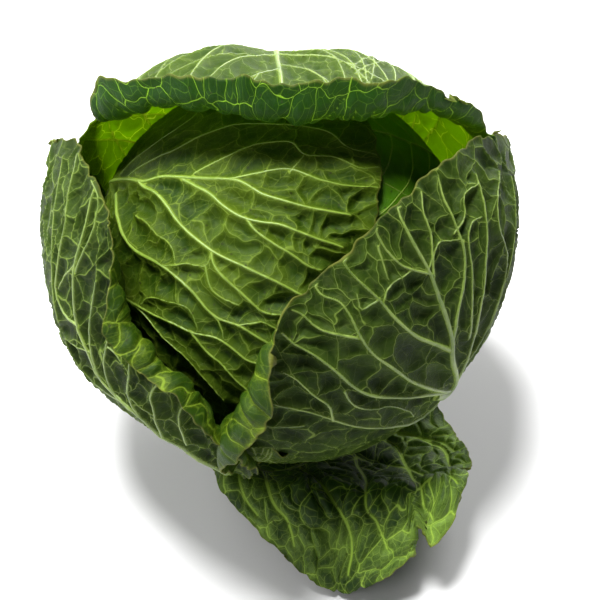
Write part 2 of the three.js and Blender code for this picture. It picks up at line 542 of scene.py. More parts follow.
@dataclass(frozen=True)
class VeinTubes:
    """Rounded main veins, swept along their lines on a leaf's outer face."""

    corners: int = 8

    def join(self, body: bpy.types.Object, lines: list[np.ndarray], widths: list[np.ndarray],
             flesh: bpy.types.Material) -> bpy.types.Object:
        """Sweeps the veins with Geometry Nodes and joins them to the leaf.

        Args:
            body: the leaf.
            lines: each vein's points in metres.
            widths: each vein's half width at its points, in metres.
            flesh: the veins' material.

        Returns:
            The same object, with the veins in its mesh.
        """
        edges, start = [], 0
        for line in lines:
            edges += [(start + k, start + k + 1) for k in range(len(line) - 1)]
            start += len(line)
        mesh = bpy.data.meshes.new("vein_lines")
        mesh.from_pydata(np.concatenate(lines).tolist(), edges, [])
        paths = bpy.data.objects.new("vein_lines", mesh)
        bpy.context.scene.collection.objects.link(paths)
        store(paths, "half_width", "FLOAT", np.concatenate(widths))

        tree = bpy.data.node_groups.new("vein_tubes", "GeometryNodeTree")
        tree.interface.new_socket("Geometry", in_out="INPUT", socket_type="NodeSocketGeometry")
        tree.interface.new_socket("Corners", in_out="INPUT", socket_type="NodeSocketInt")
        tree.interface.new_socket("Geometry", in_out="OUTPUT", socket_type="NodeSocketGeometry")
        w = Wiring(tree)
        given = w.node("NodeGroupInput")
        curve = w.node("GeometryNodeMeshToCurve")
        w.feed(curve.inputs[0], given.outputs["Geometry"])
        thick = w.node("GeometryNodeSetCurveRadius")
        w.feed(thick.inputs[0], curve.outputs[0])
        w.feed(thick.inputs["Radius"], w.named("half_width", "FLOAT"))
        circle = w.node("GeometryNodeCurvePrimitiveCircle")
        w.feed(circle.inputs["Resolution"], given.outputs["Corners"])
        circle.inputs["Radius"].default_value = 1.0
        sweep = w.node("GeometryNodeCurveToMesh")
        w.feed(sweep.inputs["Curve"], thick.outputs[0])
        w.feed(sweep.inputs["Profile Curve"], circle.outputs[0])
        if "Scale" in sweep.inputs:
            w.feed(sweep.inputs["Scale"], w.named("half_width", "FLOAT"))
        sweep.inputs["Fill Caps"].default_value = True
        real = w.node("GeometryNodeRealizeInstances")
        w.feed(real.inputs[0], sweep.outputs[0])
        paint = w.node("GeometryNodeSetMaterial")
        w.feed(paint.inputs["Geometry"], real.outputs[0])
        paint.inputs["Material"].default_value = flesh
        w.feed(w.node("NodeGroupOutput").inputs[0], paint.outputs[0])
        return join_into(body, run_tree(paths, tree, {"Corners": self.corners}))


def join_into(body: bpy.types.Object, extra: bpy.types.Object) -> bpy.types.Object:
    """Moves an object's mesh into another object, with its materials.

    Args:
        body: the object that is kept.
        extra: the object that is joined to it.

    Returns:
        The kept object.
    """
    both = [body, extra]
    with bpy.context.temp_override(active_object=body, object=body, selected_editable_objects=both,
                                   selected_objects=both):
        bpy.ops.object.join()
    return body


def run_tree(body: bpy.types.Object, tree: bpy.types.NodeTree,
             sizes: dict[str, float]) -> bpy.types.Object:
    """Runs a Geometry Nodes tree on an object and makes the result its plain mesh.

    Args:
        body: the object.
        tree: the tree.
        sizes: the values of the tree's inputs, by name.

    Returns:
        The same object, with no modifiers.
    """
    modifier = body.modifiers.new(tree.name, "NODES")
    modifier.node_group = tree
    for item in tree.interface.items_tree:
        if item.in_out == "INPUT" and item.name in sizes:
            modifier[item.identifier] = sizes[item.name]
    bpy.context.view_layer.update()
    graph = bpy.context.evaluated_depsgraph_get()
    result = bpy.data.meshes.new_from_object(body.evaluated_get(graph), depsgraph=graph)
    body.modifiers.clear()
    old = body.data
    body.data = result
    result.name = body.name
    bpy.data.meshes.remove(old)
    return body


# ---------------------------------------------------------------------------------------------
# Finishes
# ---------------------------------------------------------------------------------------------


@dataclass(frozen=True)
class LeafFinish:
    """Colour, wax and glow of one face of a leaf.

    deep and pale are the blade's two tones and vein the veins'. main, net, fine and halo are how
    strongly main veins, small veins, finest veins and the tint beside them show. bloom is the wax,
    glow the light that comes through, and painted_middle_shade how much darker the blade is near
    its middle: painted shade, where the leaves over it shade it. hollow is how much painted shade
    darkens each cell between the small veins towards its middle.
    """

    name: str
    deep: Colour
    pale: Colour
    vein: Colour
    glow: Colour
    edge: Colour = (0.17, 0.17, 0.03)
    halo: float = 0.5
    main: float = 0.9
    net: float = 0.7
    fine: float = 0.3
    hollow: float = 0.35
    bloom: Colour = (0.35, 0.42, 0.30)
    bloom_amount: float = 0.3
    roughness: float = 0.48
    translucency: float = 0.35
    margin_glow: float = 1.0
    specular: float = 0.4
    mottle: float = 0.8
    painted_middle_shade: float = 0.0

    def material(self, net: VeinNet, leaf: str) -> bpy.types.Material:
        """Builds the finish for one leaf's vein net.

        Args:
            net: the leaf's vein net.
            leaf: the leaf's name, for the material's name.

        Returns:
            The material.
        """
        made = bpy.data.materials.new(f"{leaf}_{self.name}")
        made.use_nodes = True
        made.node_tree.nodes.clear()
        w = Wiring(made.node_tree)
        blade, vein = (w.node("ShaderNodeAttribute", attribute_name=name).outputs["Vector"]
                       for name in ("blade", "vein"))
        found = net.wire(w, blade, vein)

        patches = w.noise(found.place, 0.35, 3.0, 0.6)
        grain = w.noise(found.place, 7.0, 3.0, 0.65)
        tone = w.math("MULTIPLY_ADD", w.math("SUBTRACT", patches, 0.5), self.mottle * 1.6, 0.45)
        tone = w.math("MULTIPLY_ADD", w.math("SUBTRACT", grain, 0.5), self.mottle * 0.9, tone)
        dust = w.noise(found.place, 26.0, 2.0, 0.6)
        tone = w.math("MULTIPLY_ADD", w.math("SUBTRACT", dust, 0.5), self.mottle * 0.8, tone)
        # Painted shade: the blade is darker near its middle, where the leaves over it shade it.
        tone = w.math("ADD", tone, w.ramp(found.reach, 0.35, 0.75, -self.painted_middle_shade, 0.0))
        # Painted shade: each cell between the small veins turns darker towards its middle, standing
        # in for shade in the hollow that the relief presses there.
        tone = w.math("SUBTRACT", tone, w.math("MULTIPLY", found.pillow, self.hollow), clamp=True)
        colour = w.blend(tone, self.deep, self.pale)
        wax = w.ramp(w.noise(found.place, 1.6, 4.0, 0.7), 0.42, 0.75, 0.0, self.bloom_amount)
        colour = w.blend(wax, colour, self.bloom)

        near = w.math("MINIMUM", found.clear, w.math("MULTIPLY_ADD", found.mesh, 1.3, 0.03))
        colour = w.blend(w.ramp(near, 0.0, 0.13, self.halo * 0.6, 0.0), colour, self.vein)
        faint = w.ramp(found.fine, 0.006, 0.022, self.fine, 0.0)
        colour = w.blend(faint, colour, self.vein)
        mesh = w.ramp(found.mesh, 0.010, 0.026, self.net, 0.0)
        main = w.ramp(found.clear, -0.01, 0.03, self.main, 0.0)
        lines = w.math("MAXIMUM", mesh, main)
        lines = w.math("MULTIPLY", lines, w.ramp(grain, 0.2, 0.7, 0.75, 1.0))
        colour = w.blend(lines, colour, self.vein)

        speck = w.cells(w.vector("SCALE", found.place, scale=0.9), "F1", "Distance")
        colour = w.blend(w.ramp(speck, 0.035, 0.05, 0.75, 0.0), colour, (0.02, 0.02, 0.008))
        ragged = w.math("MULTIPLY", w.math("SUBTRACT", patches, 0.5), 0.03)
        worn = w.math("ADD", found.reach, ragged)
        colour = w.blend(w.ramp(worn, 0.99, 1.003, 0.0, 0.6), colour, self.edge)

        height = w.math("MULTIPLY_ADD", lines, 0.5, w.math("MULTIPLY", grain, 0.9))
        height = w.math("MULTIPLY_ADD", dust, 0.35, height)
        height = w.math("MULTIPLY_ADD", faint, 0.4, height)
        bump = w.node("ShaderNodeBump")
        bump.inputs["Strength"].default_value = 1.0
        bump.inputs["Distance"].default_value = 0.5 * MM
        w.feed(bump.inputs["Height"], height)

        shell = w.node("ShaderNodeBsdfPrincipled")
        w.feed(shell.inputs["Base Color"], colour)
        w.feed(shell.inputs["Roughness"],
               w.math("MULTIPLY_ADD", w.math("SUBTRACT", grain, 0.5), 0.25, self.roughness))
        w.feed(shell.inputs["Normal"], bump.outputs[0])
        shell.inputs["Specular IOR Level"].default_value = self.specular
        through = w.node("ShaderNodeBsdfTranslucent")
        lit = w.blend(w.math("MULTIPLY", lines, 0.9), self.glow, (0.90, 0.95, 0.25))
        w.feed(through.inputs["Color"], lit)
        mixed = w.node("ShaderNodeMixShader")
        w.feed(mixed.inputs[0], w.ramp(found.reach, 0.80, 0.88, self.translucency,
                                       self.translucency * self.margin_glow))
        w.feed(mixed.inputs[1], shell.outputs[0])
        w.feed(mixed.inputs[2], through.outputs[0])
        w.feed(w.node("ShaderNodeOutputMaterial").inputs["Surface"], mixed.outputs[0])
        return made


@dataclass(frozen=True)
class FleshFinish:
    """Smooth, pale, fibrous flesh: main veins and the stalk."""

    name: str
    pale: Colour
    deep: Colour
    roughness: float = 0.42
    fibre: float = 300.0
    subsurface: float = 0.15

    def material(self) -> bpy.types.Material:
        """Builds the finish.

        Returns:
            The material.
        """
        made = bpy.data.materials.new(self.name)
        made.use_nodes = True
        w = Wiring(made.node_tree)
        shell = made.node_tree.nodes["Principled BSDF"]
        place = w.node("ShaderNodeTexCoord").outputs["Object"]
        broad = w.noise(place, 45.0, 3.0, 0.6)
        streak = w.noise(place, self.fibre, 4.0, 0.65)
        both = w.math("MULTIPLY_ADD", streak, 0.5, w.math("MULTIPLY", broad, 0.5))
        tone = w.ramp(both, 0.35, 0.65)
        w.feed(shell.inputs["Base Color"], w.blend(tone, self.deep, self.pale))
        rough = w.ramp(streak, 0.0, 1.0, self.roughness - 0.1, self.roughness + 0.15)
        w.feed(shell.inputs["Roughness"], rough)
        bump = w.node("ShaderNodeBump")
        bump.inputs["Strength"].default_value = 0.25
        bump.inputs["Distance"].default_value = 0.3 * MM
        w.feed(bump.inputs["Height"], streak)
        w.feed(shell.inputs["Normal"], bump.outputs[0])
        shell.inputs["Subsurface Weight"].default_value = self.subsurface
        shell.inputs["Subsurface Radius"].default_value = (0.004, 0.005, 0.002)
        return made


HEART_OUTSIDE = LeafFinish(
    "outside", deep=(0.012, 0.036, 0.001), pale=(0.094, 0.150, 0.005), vein=(0.22, 0.32, 0.035),
    glow=(0.30, 0.50, 0.01), bloom=(0.13, 0.20, 0.02), bloom_amount=0.2, halo=0.15, net=0.4,
    translucency=0.22, specular=0.12,
)
HEART_INSIDE = LeafFinish(
    "inside", deep=(0.04, 0.10, 0.004), pale=(0.10, 0.19, 0.012), vein=(0.3, 0.42, 0.08),
    glow=(0.36, 0.58, 0.02),
)
REAR_OUTSIDE = LeafFinish(
    "outside", deep=(0.04, 0.14, 0.001), pale=(0.085, 0.22, 0.002), vein=(0.10, 0.20, 0.02),
    glow=(0.3, 0.55, 0.01), net=0.2, fine=0.0, halo=0.1, bloom_amount=0.03, mottle=0.4,
    specular=0.2,
)
WRAPPER_OUTSIDE = LeafFinish(
    "outside", deep=(0.006, 0.016, 0.0015), pale=(0.060, 0.110, 0.010), vein=(0.22, 0.32, 0.05),
    glow=(0.25, 0.45, 0.01), bloom=(0.10, 0.14, 0.035), bloom_amount=0.3, halo=0.12, net=0.6,
    fine=0.2, translucency=0.2, specular=0.08,
)
WRAPPER_INSIDE = LeafFinish(
    "inside", deep=(0.003, 0.026, 0.0005), pale=(0.012, 0.062, 0.001), vein=(0.22, 0.44, 0.02),
    net=0.95, glow=(0.36, 0.58, 0.01), bloom_amount=0.02, halo=0.05, fine=0.2, mottle=0.6,
    translucency=0.5, margin_glow=0.15, specular=0.12,
)
# The rolled strips get twice the default painted shade in the hollows between the small veins.
STRIP_INSIDE = LeafFinish(
    "inside", deep=(0.016, 0.042, 0.001), pale=(0.125, 0.190, 0.008), vein=(0.27, 0.40, 0.03),
    glow=(0.44, 0.62, 0.008), bloom_amount=0.02, halo=0.25, net=0.5, fine=0.15, mottle=1.3,
    hollow=0.7, translucency=0.2, margin_glow=0.6, specular=0.12,
)
# The front leaf's inner face is darker near its middle with painted shade, where the head and the
# right leaf over it shade it.
FRONT_INSIDE = LeafFinish(
    "inside", deep=(0.006, 0.022, 0.002), pale=(0.22, 0.36, 0.05), vein=(0.36, 0.56, 0.06),
    painted_middle_shade=0.6, glow=(0.40, 0.70, 0.01), bloom=(0.12, 0.18, 0.05), bloom_amount=0.2, halo=0.15,
    fine=0.35, mottle=1.1, translucency=0.18, specular=0.15,
)
HOOD_OUTSIDE = LeafFinish(
    "outside", deep=(0.022, 0.055, 0.004), pale=(0.105, 0.165, 0.020), vein=(0.26, 0.37, 0.06),
    glow=(0.42, 0.64, 0.01), bloom=(0.18, 0.23, 0.05), bloom_amount=0.35, halo=0.15,
    translucency=0.45, specular=0.15,
)
HEART_VEIN = FleshFinish("heart_vein", pale=(0.18, 0.275, 0.03), deep=(0.12, 0.20, 0.015))
STALK_SKIN = FleshFinish(
    "stalk_skin", pale=(0.50, 0.56, 0.30), deep=(0.30, 0.38, 0.14), roughness=0.5,
)
STALK_CUT = FleshFinish(
    "stalk_cut", pale=(0.62, 0.60, 0.40), deep=(0.42, 0.36, 0.19), roughness=0.6,
)
STALK_VESSEL = FleshFinish("stalk_vessel", pale=(0.44, 0.42, 0.22), deep=(0.26, 0.22, 0.09))
WRAPPER_VEIN = FleshFinish("wrapper_vein", pale=(0.20, 0.28, 0.05), deep=(0.09, 0.15, 0.018))


# ---------------------------------------------------------------------------------------------
# Leaves
# ---------------------------------------------------------------------------------------------


def cubic(p0: np.ndarray, p1: np.ndarray, p2: np.ndarray, p3: np.ndarray,
          t: np.ndarray) -> np.ndarray:
    """Interpolates between the middle two of four values, as a Catmull-Rom spline does.

    Args:
        p0, p1, p2, p3: the values.
        t: the place between p1 and p2, 0 to 1.

    Returns:
        The value there.
    """
    t2 = t * t
    t3 = t2 * t
    return ((2 * t3 - 3 * t2 + 1) * p1 + (t3 - 2 * t2 + t) * (p2 - p0) / 2
            + (3 * t2 - 2 * t3) * p2 + (t3 - t2) * (p3 - p1) / 2)


def ring_at(ring: tuple[float, ...], turn: np.ndarray) -> np.ndarray:
    """Reads twelve numbers that stand clockwise from the tip, 30 degrees apart.

    Args:
        ring: the numbers.
        turn: where they are read, in radians from the tip.

    Returns:
        The values there.
    """
    values = np.array(ring)
    place = (turn / RING_STEP) % RING_PLACES
    i = np.floor(place).astype(int)
    around = [values[(i + k) % RING_PLACES] for k in (-1, 0, 1, 2)]
    return cubic(*around, place - i)


def table_at(rows: tuple[tuple[float, ...], ...], x: np.ndarray, y: np.ndarray) -> np.ndarray:
    """Reads a 5 x 5 table of numbers laid over the blade.

    Args:
        rows: its rows from base to tip, each from left to right.
        x, y: where it is read, both -1 to 1.

    Returns:
        The values there.
    """
    values = np.array(rows, float)
    px = np.clip((x + 1) * TABLE_CELLS / 2, 0, TABLE_CELLS)
    py = np.clip((y + 1) * TABLE_CELLS / 2, 0, TABLE_CELLS)
    ix = np.minimum(np.floor(px).astype(int), TABLE_CELLS - 1)
    iy = np.minimum(np.floor(py).astype(int), TABLE_CELLS - 1)

    def along(row: np.ndarray) -> np.ndarray:
        """Reads each point's own row.

        Args:
            row: the row of each point.

        Returns:
            The values at px.
        """
        row = np.clip(row, 0, TABLE_CELLS)
        around = [values[row, np.clip(ix + k, 0, TABLE_CELLS)] for k in (-1, 0, 1, 2)]
        return cubic(*around, px - ix)

    return cubic(along(iy - 1), along(iy), along(iy + 1), along(iy + 2), py - iy)


def direction(azimuth: float, latitude: float) -> np.ndarray:
    """Turns an azimuth and a latitude into a direction.

    Args:
        azimuth: degrees from the front towards +X.
        latitude: degrees above the horizon.

    Returns:
        The unit vector.
    """
    a, b = math.radians(azimuth), math.radians(latitude)
    return np.array([math.sin(a) * math.cos(b), -math.cos(a) * math.cos(b), math.sin(b)])


def unit(vectors: np.ndarray) -> np.ndarray:
    """Returns the vectors at length 1."""
    return vectors / np.maximum(np.linalg.norm(vectors, axis=-1, keepdims=True), 1e-12)


def ease(value: np.ndarray, low: float, high: float) -> np.ndarray:
    """Steps smoothly from 0 to 1.

    Args:
        value: the numbers to map.
        low, high: where the step begins and ends.

    Returns:
        The step's height at each number.
    """
    t = np.clip((value - low) / (high - low), 0, 1)
    return t * t * (3 - 2 * t)


@dataclass(frozen=True)
class Roll:
    """A margin that rolls outwards, or inwards where a width is below 0.

    radius and widths are in millimetres, with the widths round the ring. turn is how far it rolls
    at most, in degrees.
    """

    radius: float
    turn: float
    widths: tuple[float, ...]


@dataclass(frozen=True)
class Notch:
    """A bite out of the margin, or a lobe where its depth is below 0.

    turn and spread, its place and half width, are in degrees. depth is a share of the blade, and a
    low shape makes it wide at its bottom.
    """

    turn: float
    spread: float
    depth: float
    shape: float = 1.0


@dataclass
class Leaf:
    """One leaf: how its blade lies on the heart, how its margin runs and how it is finished.

    face is the azimuth and latitude that the blade's middle faces, heading how far its tip is
    turned, and the half sizes how far it reaches over the heart, all in degrees. outline scales
    that reach round the ring, and radii gives the distance from the heart's centre in millimetres.
    keel is the crease's depth in millimetres and its width as a share of the blade. ruffle and
    thickness are in millimetres, and teeth is a share of the blade. thin_rim is how much thinner
    the margin is, and sunk how deep the main veins sit, as a share of their half width.
    """

    name: str
    slot: Slot
    face: tuple[float, float]
    heading: float
    half_width: float
    half_length: float
    outline: tuple[float, ...]
    radii: tuple[tuple[float, ...], ...]
    outside: LeafFinish
    inside: LeafFinish
    flesh: FleshFinish
    veins: tuple[Vein, ...] = ()
    sides: tuple[SideVeins, ...] = ()
    net: VeinNet = field(default_factory=VeinNet)
    relief: Relief = field(default_factory=Relief)
    roll: Roll | None = None
    notches: tuple[Notch, ...] = ()
    keel: tuple[float, float] = (0.0, 1.0)
    ruffle: float = 1.6
    teeth: float = 0.006
    thickness: float = 0.9
    thin_rim: float = 0.45
    sunk: float = 0.45
    steps: int = 200
    seed: int = 1

    def build(self, centre: np.ndarray) -> bpy.types.Object:
        """Builds the leaf as a finished piece.

        Args:
            centre: the heart's centre in metres.

        Returns:
            The piece, riding on the root and standing for its CAD node.
        """
        self.centre = centre / MM
        self.axes = self._axes()
        finishes = {Skin.OUTER: self.outside.material(self.net, self.name),
                    Skin.INNER: self.inside.material(self.net, self.name)}
        body = self._sheet()
        self.relief.apply(body, self.net, finishes)
        self._add_tubes(body)
        body.data.shade_smooth()
        place_piece(body, self.slot, self.name)
        LOG.info("leaf %s: %d faces", self.name, len(body.data.polygons))
        return body

    def _axes(self) -> tuple[np.ndarray, np.ndarray, np.ndarray]:
        """Works out how the blade faces.

        Returns:
            Its middle, tip and right directions.
        """
        middle = direction(*self.face)
        up = np.array([0.0, 0.0, 1.0])
        tip = unit(up - middle * up.dot(middle))
        turn = math.radians(self.heading)
        tip = tip * math.cos(turn) - np.cross(middle, tip) * math.sin(turn)
        return middle, tip, np.cross(tip, middle)

    def _fray(self, x: np.ndarray, y: np.ndarray) -> tuple[np.ndarray, np.ndarray]:
        """Cuts the teeth and notches of the margin.

        Args:
            x, y: points of the disk.

        Returns:
            The points, drawn in or pushed out along their own rays.
        """
        turn, reach = np.arctan2(x, y), np.hypot(x, y)
        rng = np.random.default_rng(self.seed)
        teeth = np.zeros_like(turn)
        for waves in TEETH_WAVES:
            phase, size = rng.uniform(0, 2 * math.pi), rng.uniform(0.5, 1.0)
            teeth += size * np.sin(waves * turn + phase) / math.sqrt(waves / TEETH_WAVES[0])
        share = 1 + self.teeth * teeth * ease(reach, 0.88, 1.0)
        for notch in self.notches:
            off = (np.degrees(turn) - notch.turn + 180) % 360 - 180
            bite = np.clip(1 - np.abs(off) / notch.spread, 0, 1) ** notch.shape
            share *= 1 - notch.depth * bite * ease(reach, 0.55, 1.0)
        return x * share, y * share

    def _lay(self, x: np.ndarray, y: np.ndarray) -> np.ndarray:
        """Lays the disk over the heart, before the margin rolls.

        Args:
            x, y: points of the disk.

        Returns:
            Points of the middle surface, in millimetres.
        """
        middle, tip, right = self.axes
        grow = ring_at(self.outline, np.arctan2(x, y))
        across = self.half_width * grow * x
        along = self.half_length * grow * y
        angle = np.hypot(across, along)
        radians = np.radians(angle)
        share = np.where(angle > 1e-9, np.sin(radians) / np.maximum(angle, 1e-9), 0.0)
        way = (middle * np.cos(radians)[..., None] + right * (across * share)[..., None]
               + tip * (along * share)[..., None])
        return way * table_at(self.radii, x, y)[..., None] + self.centre

    def _rolled(self, x: np.ndarray, y: np.ndarray) -> np.ndarray:
        """Lays the disk over the heart and rolls its margin.

        Args:
            x, y: points of the disk.

        Returns:
            Points of the middle surface, in millimetres.
        """
        flat = self._lay(x, y)
        if self.roll is None:
            return flat
        reach, turn = np.hypot(x, y), np.arctan2(x, y)
        wide = ring_at(self.roll.widths, turn)
        width, side = np.abs(wide), np.sign(wide)[..., None]
        step = 0.02

        def on_ray(s: np.ndarray | float, t: np.ndarray = turn) -> np.ndarray:
            """Lays, for each point, another point of its own ray.

            Args:
                s: its reach.
                t: its turn.

            Returns:
                The laid point, in millimetres.
            """
            return self._lay(s * np.sin(t), s * np.cos(t))

        span = np.linalg.norm(on_ray(1.0) - on_ray(0.8), axis=-1) / 0.2
        start = 1 - width / span
        origin = on_ray(start)
        outward = unit(on_ray(start + step) - on_ray(start - step))
        around = on_ray(start, turn + step) - on_ray(start, turn - step)
        normal = unit(np.cross(outward, around))
        normal *= side * np.sign(np.sum(normal * (origin - self.centre), axis=-1, keepdims=True))
        length = np.maximum(reach - start, 0) * span
        most = math.radians(self.roll.turn)
        radius = self.roll.radius
        bend = np.minimum(length / radius, most)
        straight = np.maximum(length - radius * most, 0)
        out = radius * np.sin(bend) + straight * np.cos(bend)
        lift = radius * (1 - np.cos(bend)) + straight * np.sin(bend)
        rolled = origin + outward * out[..., None] + normal * lift[..., None]
        use = (width > 0) & (reach > np.maximum(start, 0.3))
        return np.where(use[..., None], rolled, flat)

    def _middle(self, x: np.ndarray, y: np.ndarray) -> tuple[np.ndarray, np.ndarray]:
        """Lays the disk with its margin frayed, rolled and ruffled, and its crease.

        Args:
            x, y: the grid's points on the disk.

        Returns:
            The laid points, in millimetres, and their normals.
        """
        x, y = self._fray(x, y)
        points = self._rolled(x, y)
        normals = sheet_normals(points)
        reach, turn = np.hypot(x, y), np.degrees(np.arctan2(x, y))
        rng = np.random.default_rng(self.seed + 100)
        wave = np.zeros_like(reach)
        for waves in RUFFLE_WAVES:
            phase, size = rng.uniform(0, 2 * math.pi), rng.uniform(0.5, 1.0)
            ripple = np.sin(np.radians(turn) * waves + phase + 2.2 * reach)
            wave += size * ripple * (RUFFLE_WAVES[0] / waves) ** 0.7
        points = points + normals * (self.ruffle * wave * ease(reach, 0.68, 1.0))[..., None]
        depth, width = self.keel
        crease = np.exp(-(x / width) ** 2) * ease(y, -0.1, 0.5) * (1 - ease(y, 0.55, 0.8))
        points = points - normals * (depth * crease)[..., None]
        for _ in range(DENTS):
            way = unit(rng.normal(size=3))
            size, phase = rng.uniform(0.2, 0.5), rng.uniform(0, 2 * math.pi)
            points = points + normals * (size * np.sin(points @ way / DENT_MM + phase))[..., None]
        return points, sheet_normals(points)

    def _grid(self) -> tuple[np.ndarray, np.ndarray]:
        """Sets out the disk's grid, a little closer near the margin.

        Returns:
            The grid's x and y.
        """
        line = self._crowd(np.linspace(-1, 1, self.steps + 1))
        s, t = np.meshgrid(line, line)
        return s * np.sqrt(1 - t * t / 2), t * np.sqrt(1 - s * s / 2)

    @staticmethod
    def _crowd(line: np.ndarray) -> np.ndarray:
        """Returns the grid lines' places, closer together near both ends."""
        return line * (1.1 - 0.1 * line * line)

    def _cell_of(self, x: np.ndarray, y: np.ndarray) -> tuple[np.ndarray, np.ndarray]:
        """Finds points of the disk in the grid.

        Args:
            x, y: the points.

        Returns:
            Their rows and columns, with fractions.
        """
        root = 2 * math.sqrt(2)
        s = (np.sqrt(2 + x * x - y * y + root * x) - np.sqrt(2 + x * x - y * y - root * x)) / 2
        t = (np.sqrt(2 - x * x + y * y + root * y) - np.sqrt(2 - x * x + y * y - root * y)) / 2
        fine = np.linspace(-1, 1, 2001)
        places = self._crowd(fine)
        column = (np.interp(s, places, fine) + 1) / 2 * self.steps
        row = (np.interp(t, places, fine) + 1) / 2 * self.steps
        return row, column

    def _sample(self, grid: np.ndarray, line: np.ndarray) -> np.ndarray:
        """Reads a grid along a line.

        Args:
            grid: a value for each grid point.
            line: points of the disk.

        Returns:
            The values at the line's points.
        """
        row, column = self._cell_of(line[:, 0], line[:, 1])
        i = np.clip(row.astype(int), 0, self.steps - 1)
        j = np.clip(column.astype(int), 0, self.steps - 1)
        f, g = (row - i)[:, None], (column - j)[:, None]
        return ((grid[i, j] * (1 - g) + grid[i, j + 1] * g) * (1 - f)
                + (grid[i + 1, j] * (1 - g) + grid[i + 1, j + 1] * g) * f)

    def _lines(self, points: np.ndarray) -> list[tuple[np.ndarray, np.ndarray]]:
        """Lays out the main veins, drawn and grown, with points about 1 mm apart.

        Args:
            points: the laid grid, in millimetres.

        Returns:
            Each vein's disk points and its half widths in millimetres.
        """
        rng = np.random.default_rng(self.seed + 200)
        grown = list(self.veins)
        for plan in self.sides:
            grown += plan.grow(self.veins[0])
        lines = []
        for vein in grown:
            rough = smooth_line(np.array(vein.points), 40)
            length = np.linalg.norm(np.diff(self._sample(points, rough), axis=0), axis=1).sum()
            count = max(int(length), 6)
            line = smooth_line(rough, count)
            share = np.linspace(0, 1, count)
            sway = sum(rng.uniform(-1, 1) * np.sin(share * k * math.pi) / k for k in (3, 5, 8, 13))
            way = unit(np.gradient(line, axis=0))
            line = line + np.stack([way[:, 1], -way[:, 0]], axis=1) * (0.008 * sway)[:, None]
            line *= np.minimum(1, 0.985 / np.maximum(np.hypot(*line.T), 1e-6))[:, None]
            half = vein.base + (vein.tip - vein.base) * share ** 0.7
            lines.append((line, half * (1 + 0.08 * np.sin(share * 25 + rng.uniform(0, 6)))))
        return lines

    def _sheet(self) -> bpy.types.Object:
        """Makes the smooth leaf, with the attributes that the vein pattern needs.

        Returns:
            The leaf as a closed sheet.
        """
        x, y = self._grid()
        points, normals = self._middle(x, y)
        self.lines = self._lines(points)
        reach = np.hypot(x, y)
        half = self.thickness / 2 * (1 - self.thin_rim * ease(reach, 0.9, 1.0))[..., None]
        skins = [points + normals * half, points - normals * half]
        vertices = np.concatenate([skin.reshape(-1, 3) for skin in skins]) * MM
        body = mesh_object(self.name + "_piece", vertices, sheet_faces(self.steps))
        twice = {
            "blade": np.stack([*self._unrolled(x, y), reach], axis=-1),
            "vein": self._vein_distance(points),
            "outward": normals,
        }
        for name, values in twice.items():
            flat = values.reshape(-1, 3)
            store(body, name, "FLOAT_VECTOR", np.concatenate([flat, flat]))
        store(body, "side", "FLOAT", np.repeat([1.0, -1.0], reach.size))
        return body

    def _unrolled(self, x: np.ndarray, y: np.ndarray) -> tuple[np.ndarray, np.ndarray]:
        """Measures the blade as if it lay flat.

        Args:
            x, y: points of the disk.

        Returns:
            Their u and v in centimetres: their way from the middle along their own ray.
        """
        rings, spokes = 24, 180
        shares = np.linspace(0, 1, rings + 1)
        turns = np.linspace(-math.pi, math.pi, spokes + 1)
        t, s = np.meshgrid(turns, shares)
        rays = self._rolled(s * np.sin(t), s * np.cos(t))
        run = np.zeros_like(s)
        run[1:] = np.cumsum(np.linalg.norm(np.diff(rays, axis=0), axis=-1), axis=0)
        reach, turn = np.hypot(x, y), np.arctan2(x, y)
        row = np.clip(reach * rings, 0, rings)
        column = (turn + math.pi) / (2 * math.pi) * spokes
        i, j = np.minimum(row.astype(int), rings - 1), np.minimum(column.astype(int), spokes - 1)
        f, g = row - i, column - j
        length = ((run[i, j] * (1 - g) + run[i, j + 1] * g) * (1 - f)
                  + (run[i + 1, j] * (1 - g) + run[i + 1, j + 1] * g) * f) / MM_PER_CM
        heading = np.arctan2(self.half_width * x, self.half_length * y)
        return length * np.sin(heading), length * np.cos(heading)

    def _vein_distance(self, points: np.ndarray) -> np.ndarray:
        """Measures how far each grid point is from the main veins.

        Args:
            points: the laid grid, in millimetres.

        Returns:
            Its clearance from the nearest one and that one's half width, in centimetres.
        """
        found = np.full((*points.shape[:2], 3), FAR_CM)
        if not self.lines:
            return found
        tracks = [self._sample(points, line) for line, _ in self.lines]
        nodes = np.concatenate(tracks)
        ways = np.concatenate([unit(np.gradient(track, axis=0)) for track in tracks])
        halves = np.concatenate([half for _, half in self.lines])
        tree = KDTree(len(nodes))
        for k, node in enumerate(nodes):
            tree.insert(node, k)
        tree.balance()
        flat = points.reshape(-1, 3)
        near = np.array([tree.find(p)[1] for p in flat])
        gap = flat - nodes[near]
        along = np.sum(gap * ways[near], axis=1)
        along = np.clip(along, -HALF_NODE_MM, HALF_NODE_MM)
        away = np.linalg.norm(gap - ways[near] * along[:, None], axis=1)
        found[..., 0] = ((away - halves[near]) / MM_PER_CM).reshape(points.shape[:2])
        found[..., 1] = (halves[near] / MM_PER_CM).reshape(points.shape[:2])
        return found

    def _add_tubes(self, body: bpy.types.Object) -> None:
        """Adds the main veins as rounded tubes on the pressed outer face.

        Args:
            body: the leaf.
        """
        if not self.lines:
            return
        side = self.steps + 1
        count = len(body.data.vertices)
        places = np.empty(count * 3, np.float32)
        body.data.vertices.foreach_get("co", places)
        outer = places.reshape(-1, 3)[:side * side].reshape(side, side, 3).astype(float)
        normals = sheet_normals(outer)
        lines, widths = [], []
        for line, half in self.lines:
            track = self._sample(outer, line)
            out = unit(self._sample(normals, line))
            lines.append(track - out * (half * self.sunk * MM)[:, None])
            widths.append(half * MM)
        VeinTubes().join(body, lines, widths, self.flesh.material())


def sheet_normals(points: np.ndarray) -> np.ndarray:
    """Works out the normals of a grid, on the side of the outer face.

    Args:
        points: the grid's points.

    Returns:
        The unit normals.
    """
    rows, columns = np.gradient(points, axis=0), np.gradient(points, axis=1)
    return unit(np.cross(columns, rows))


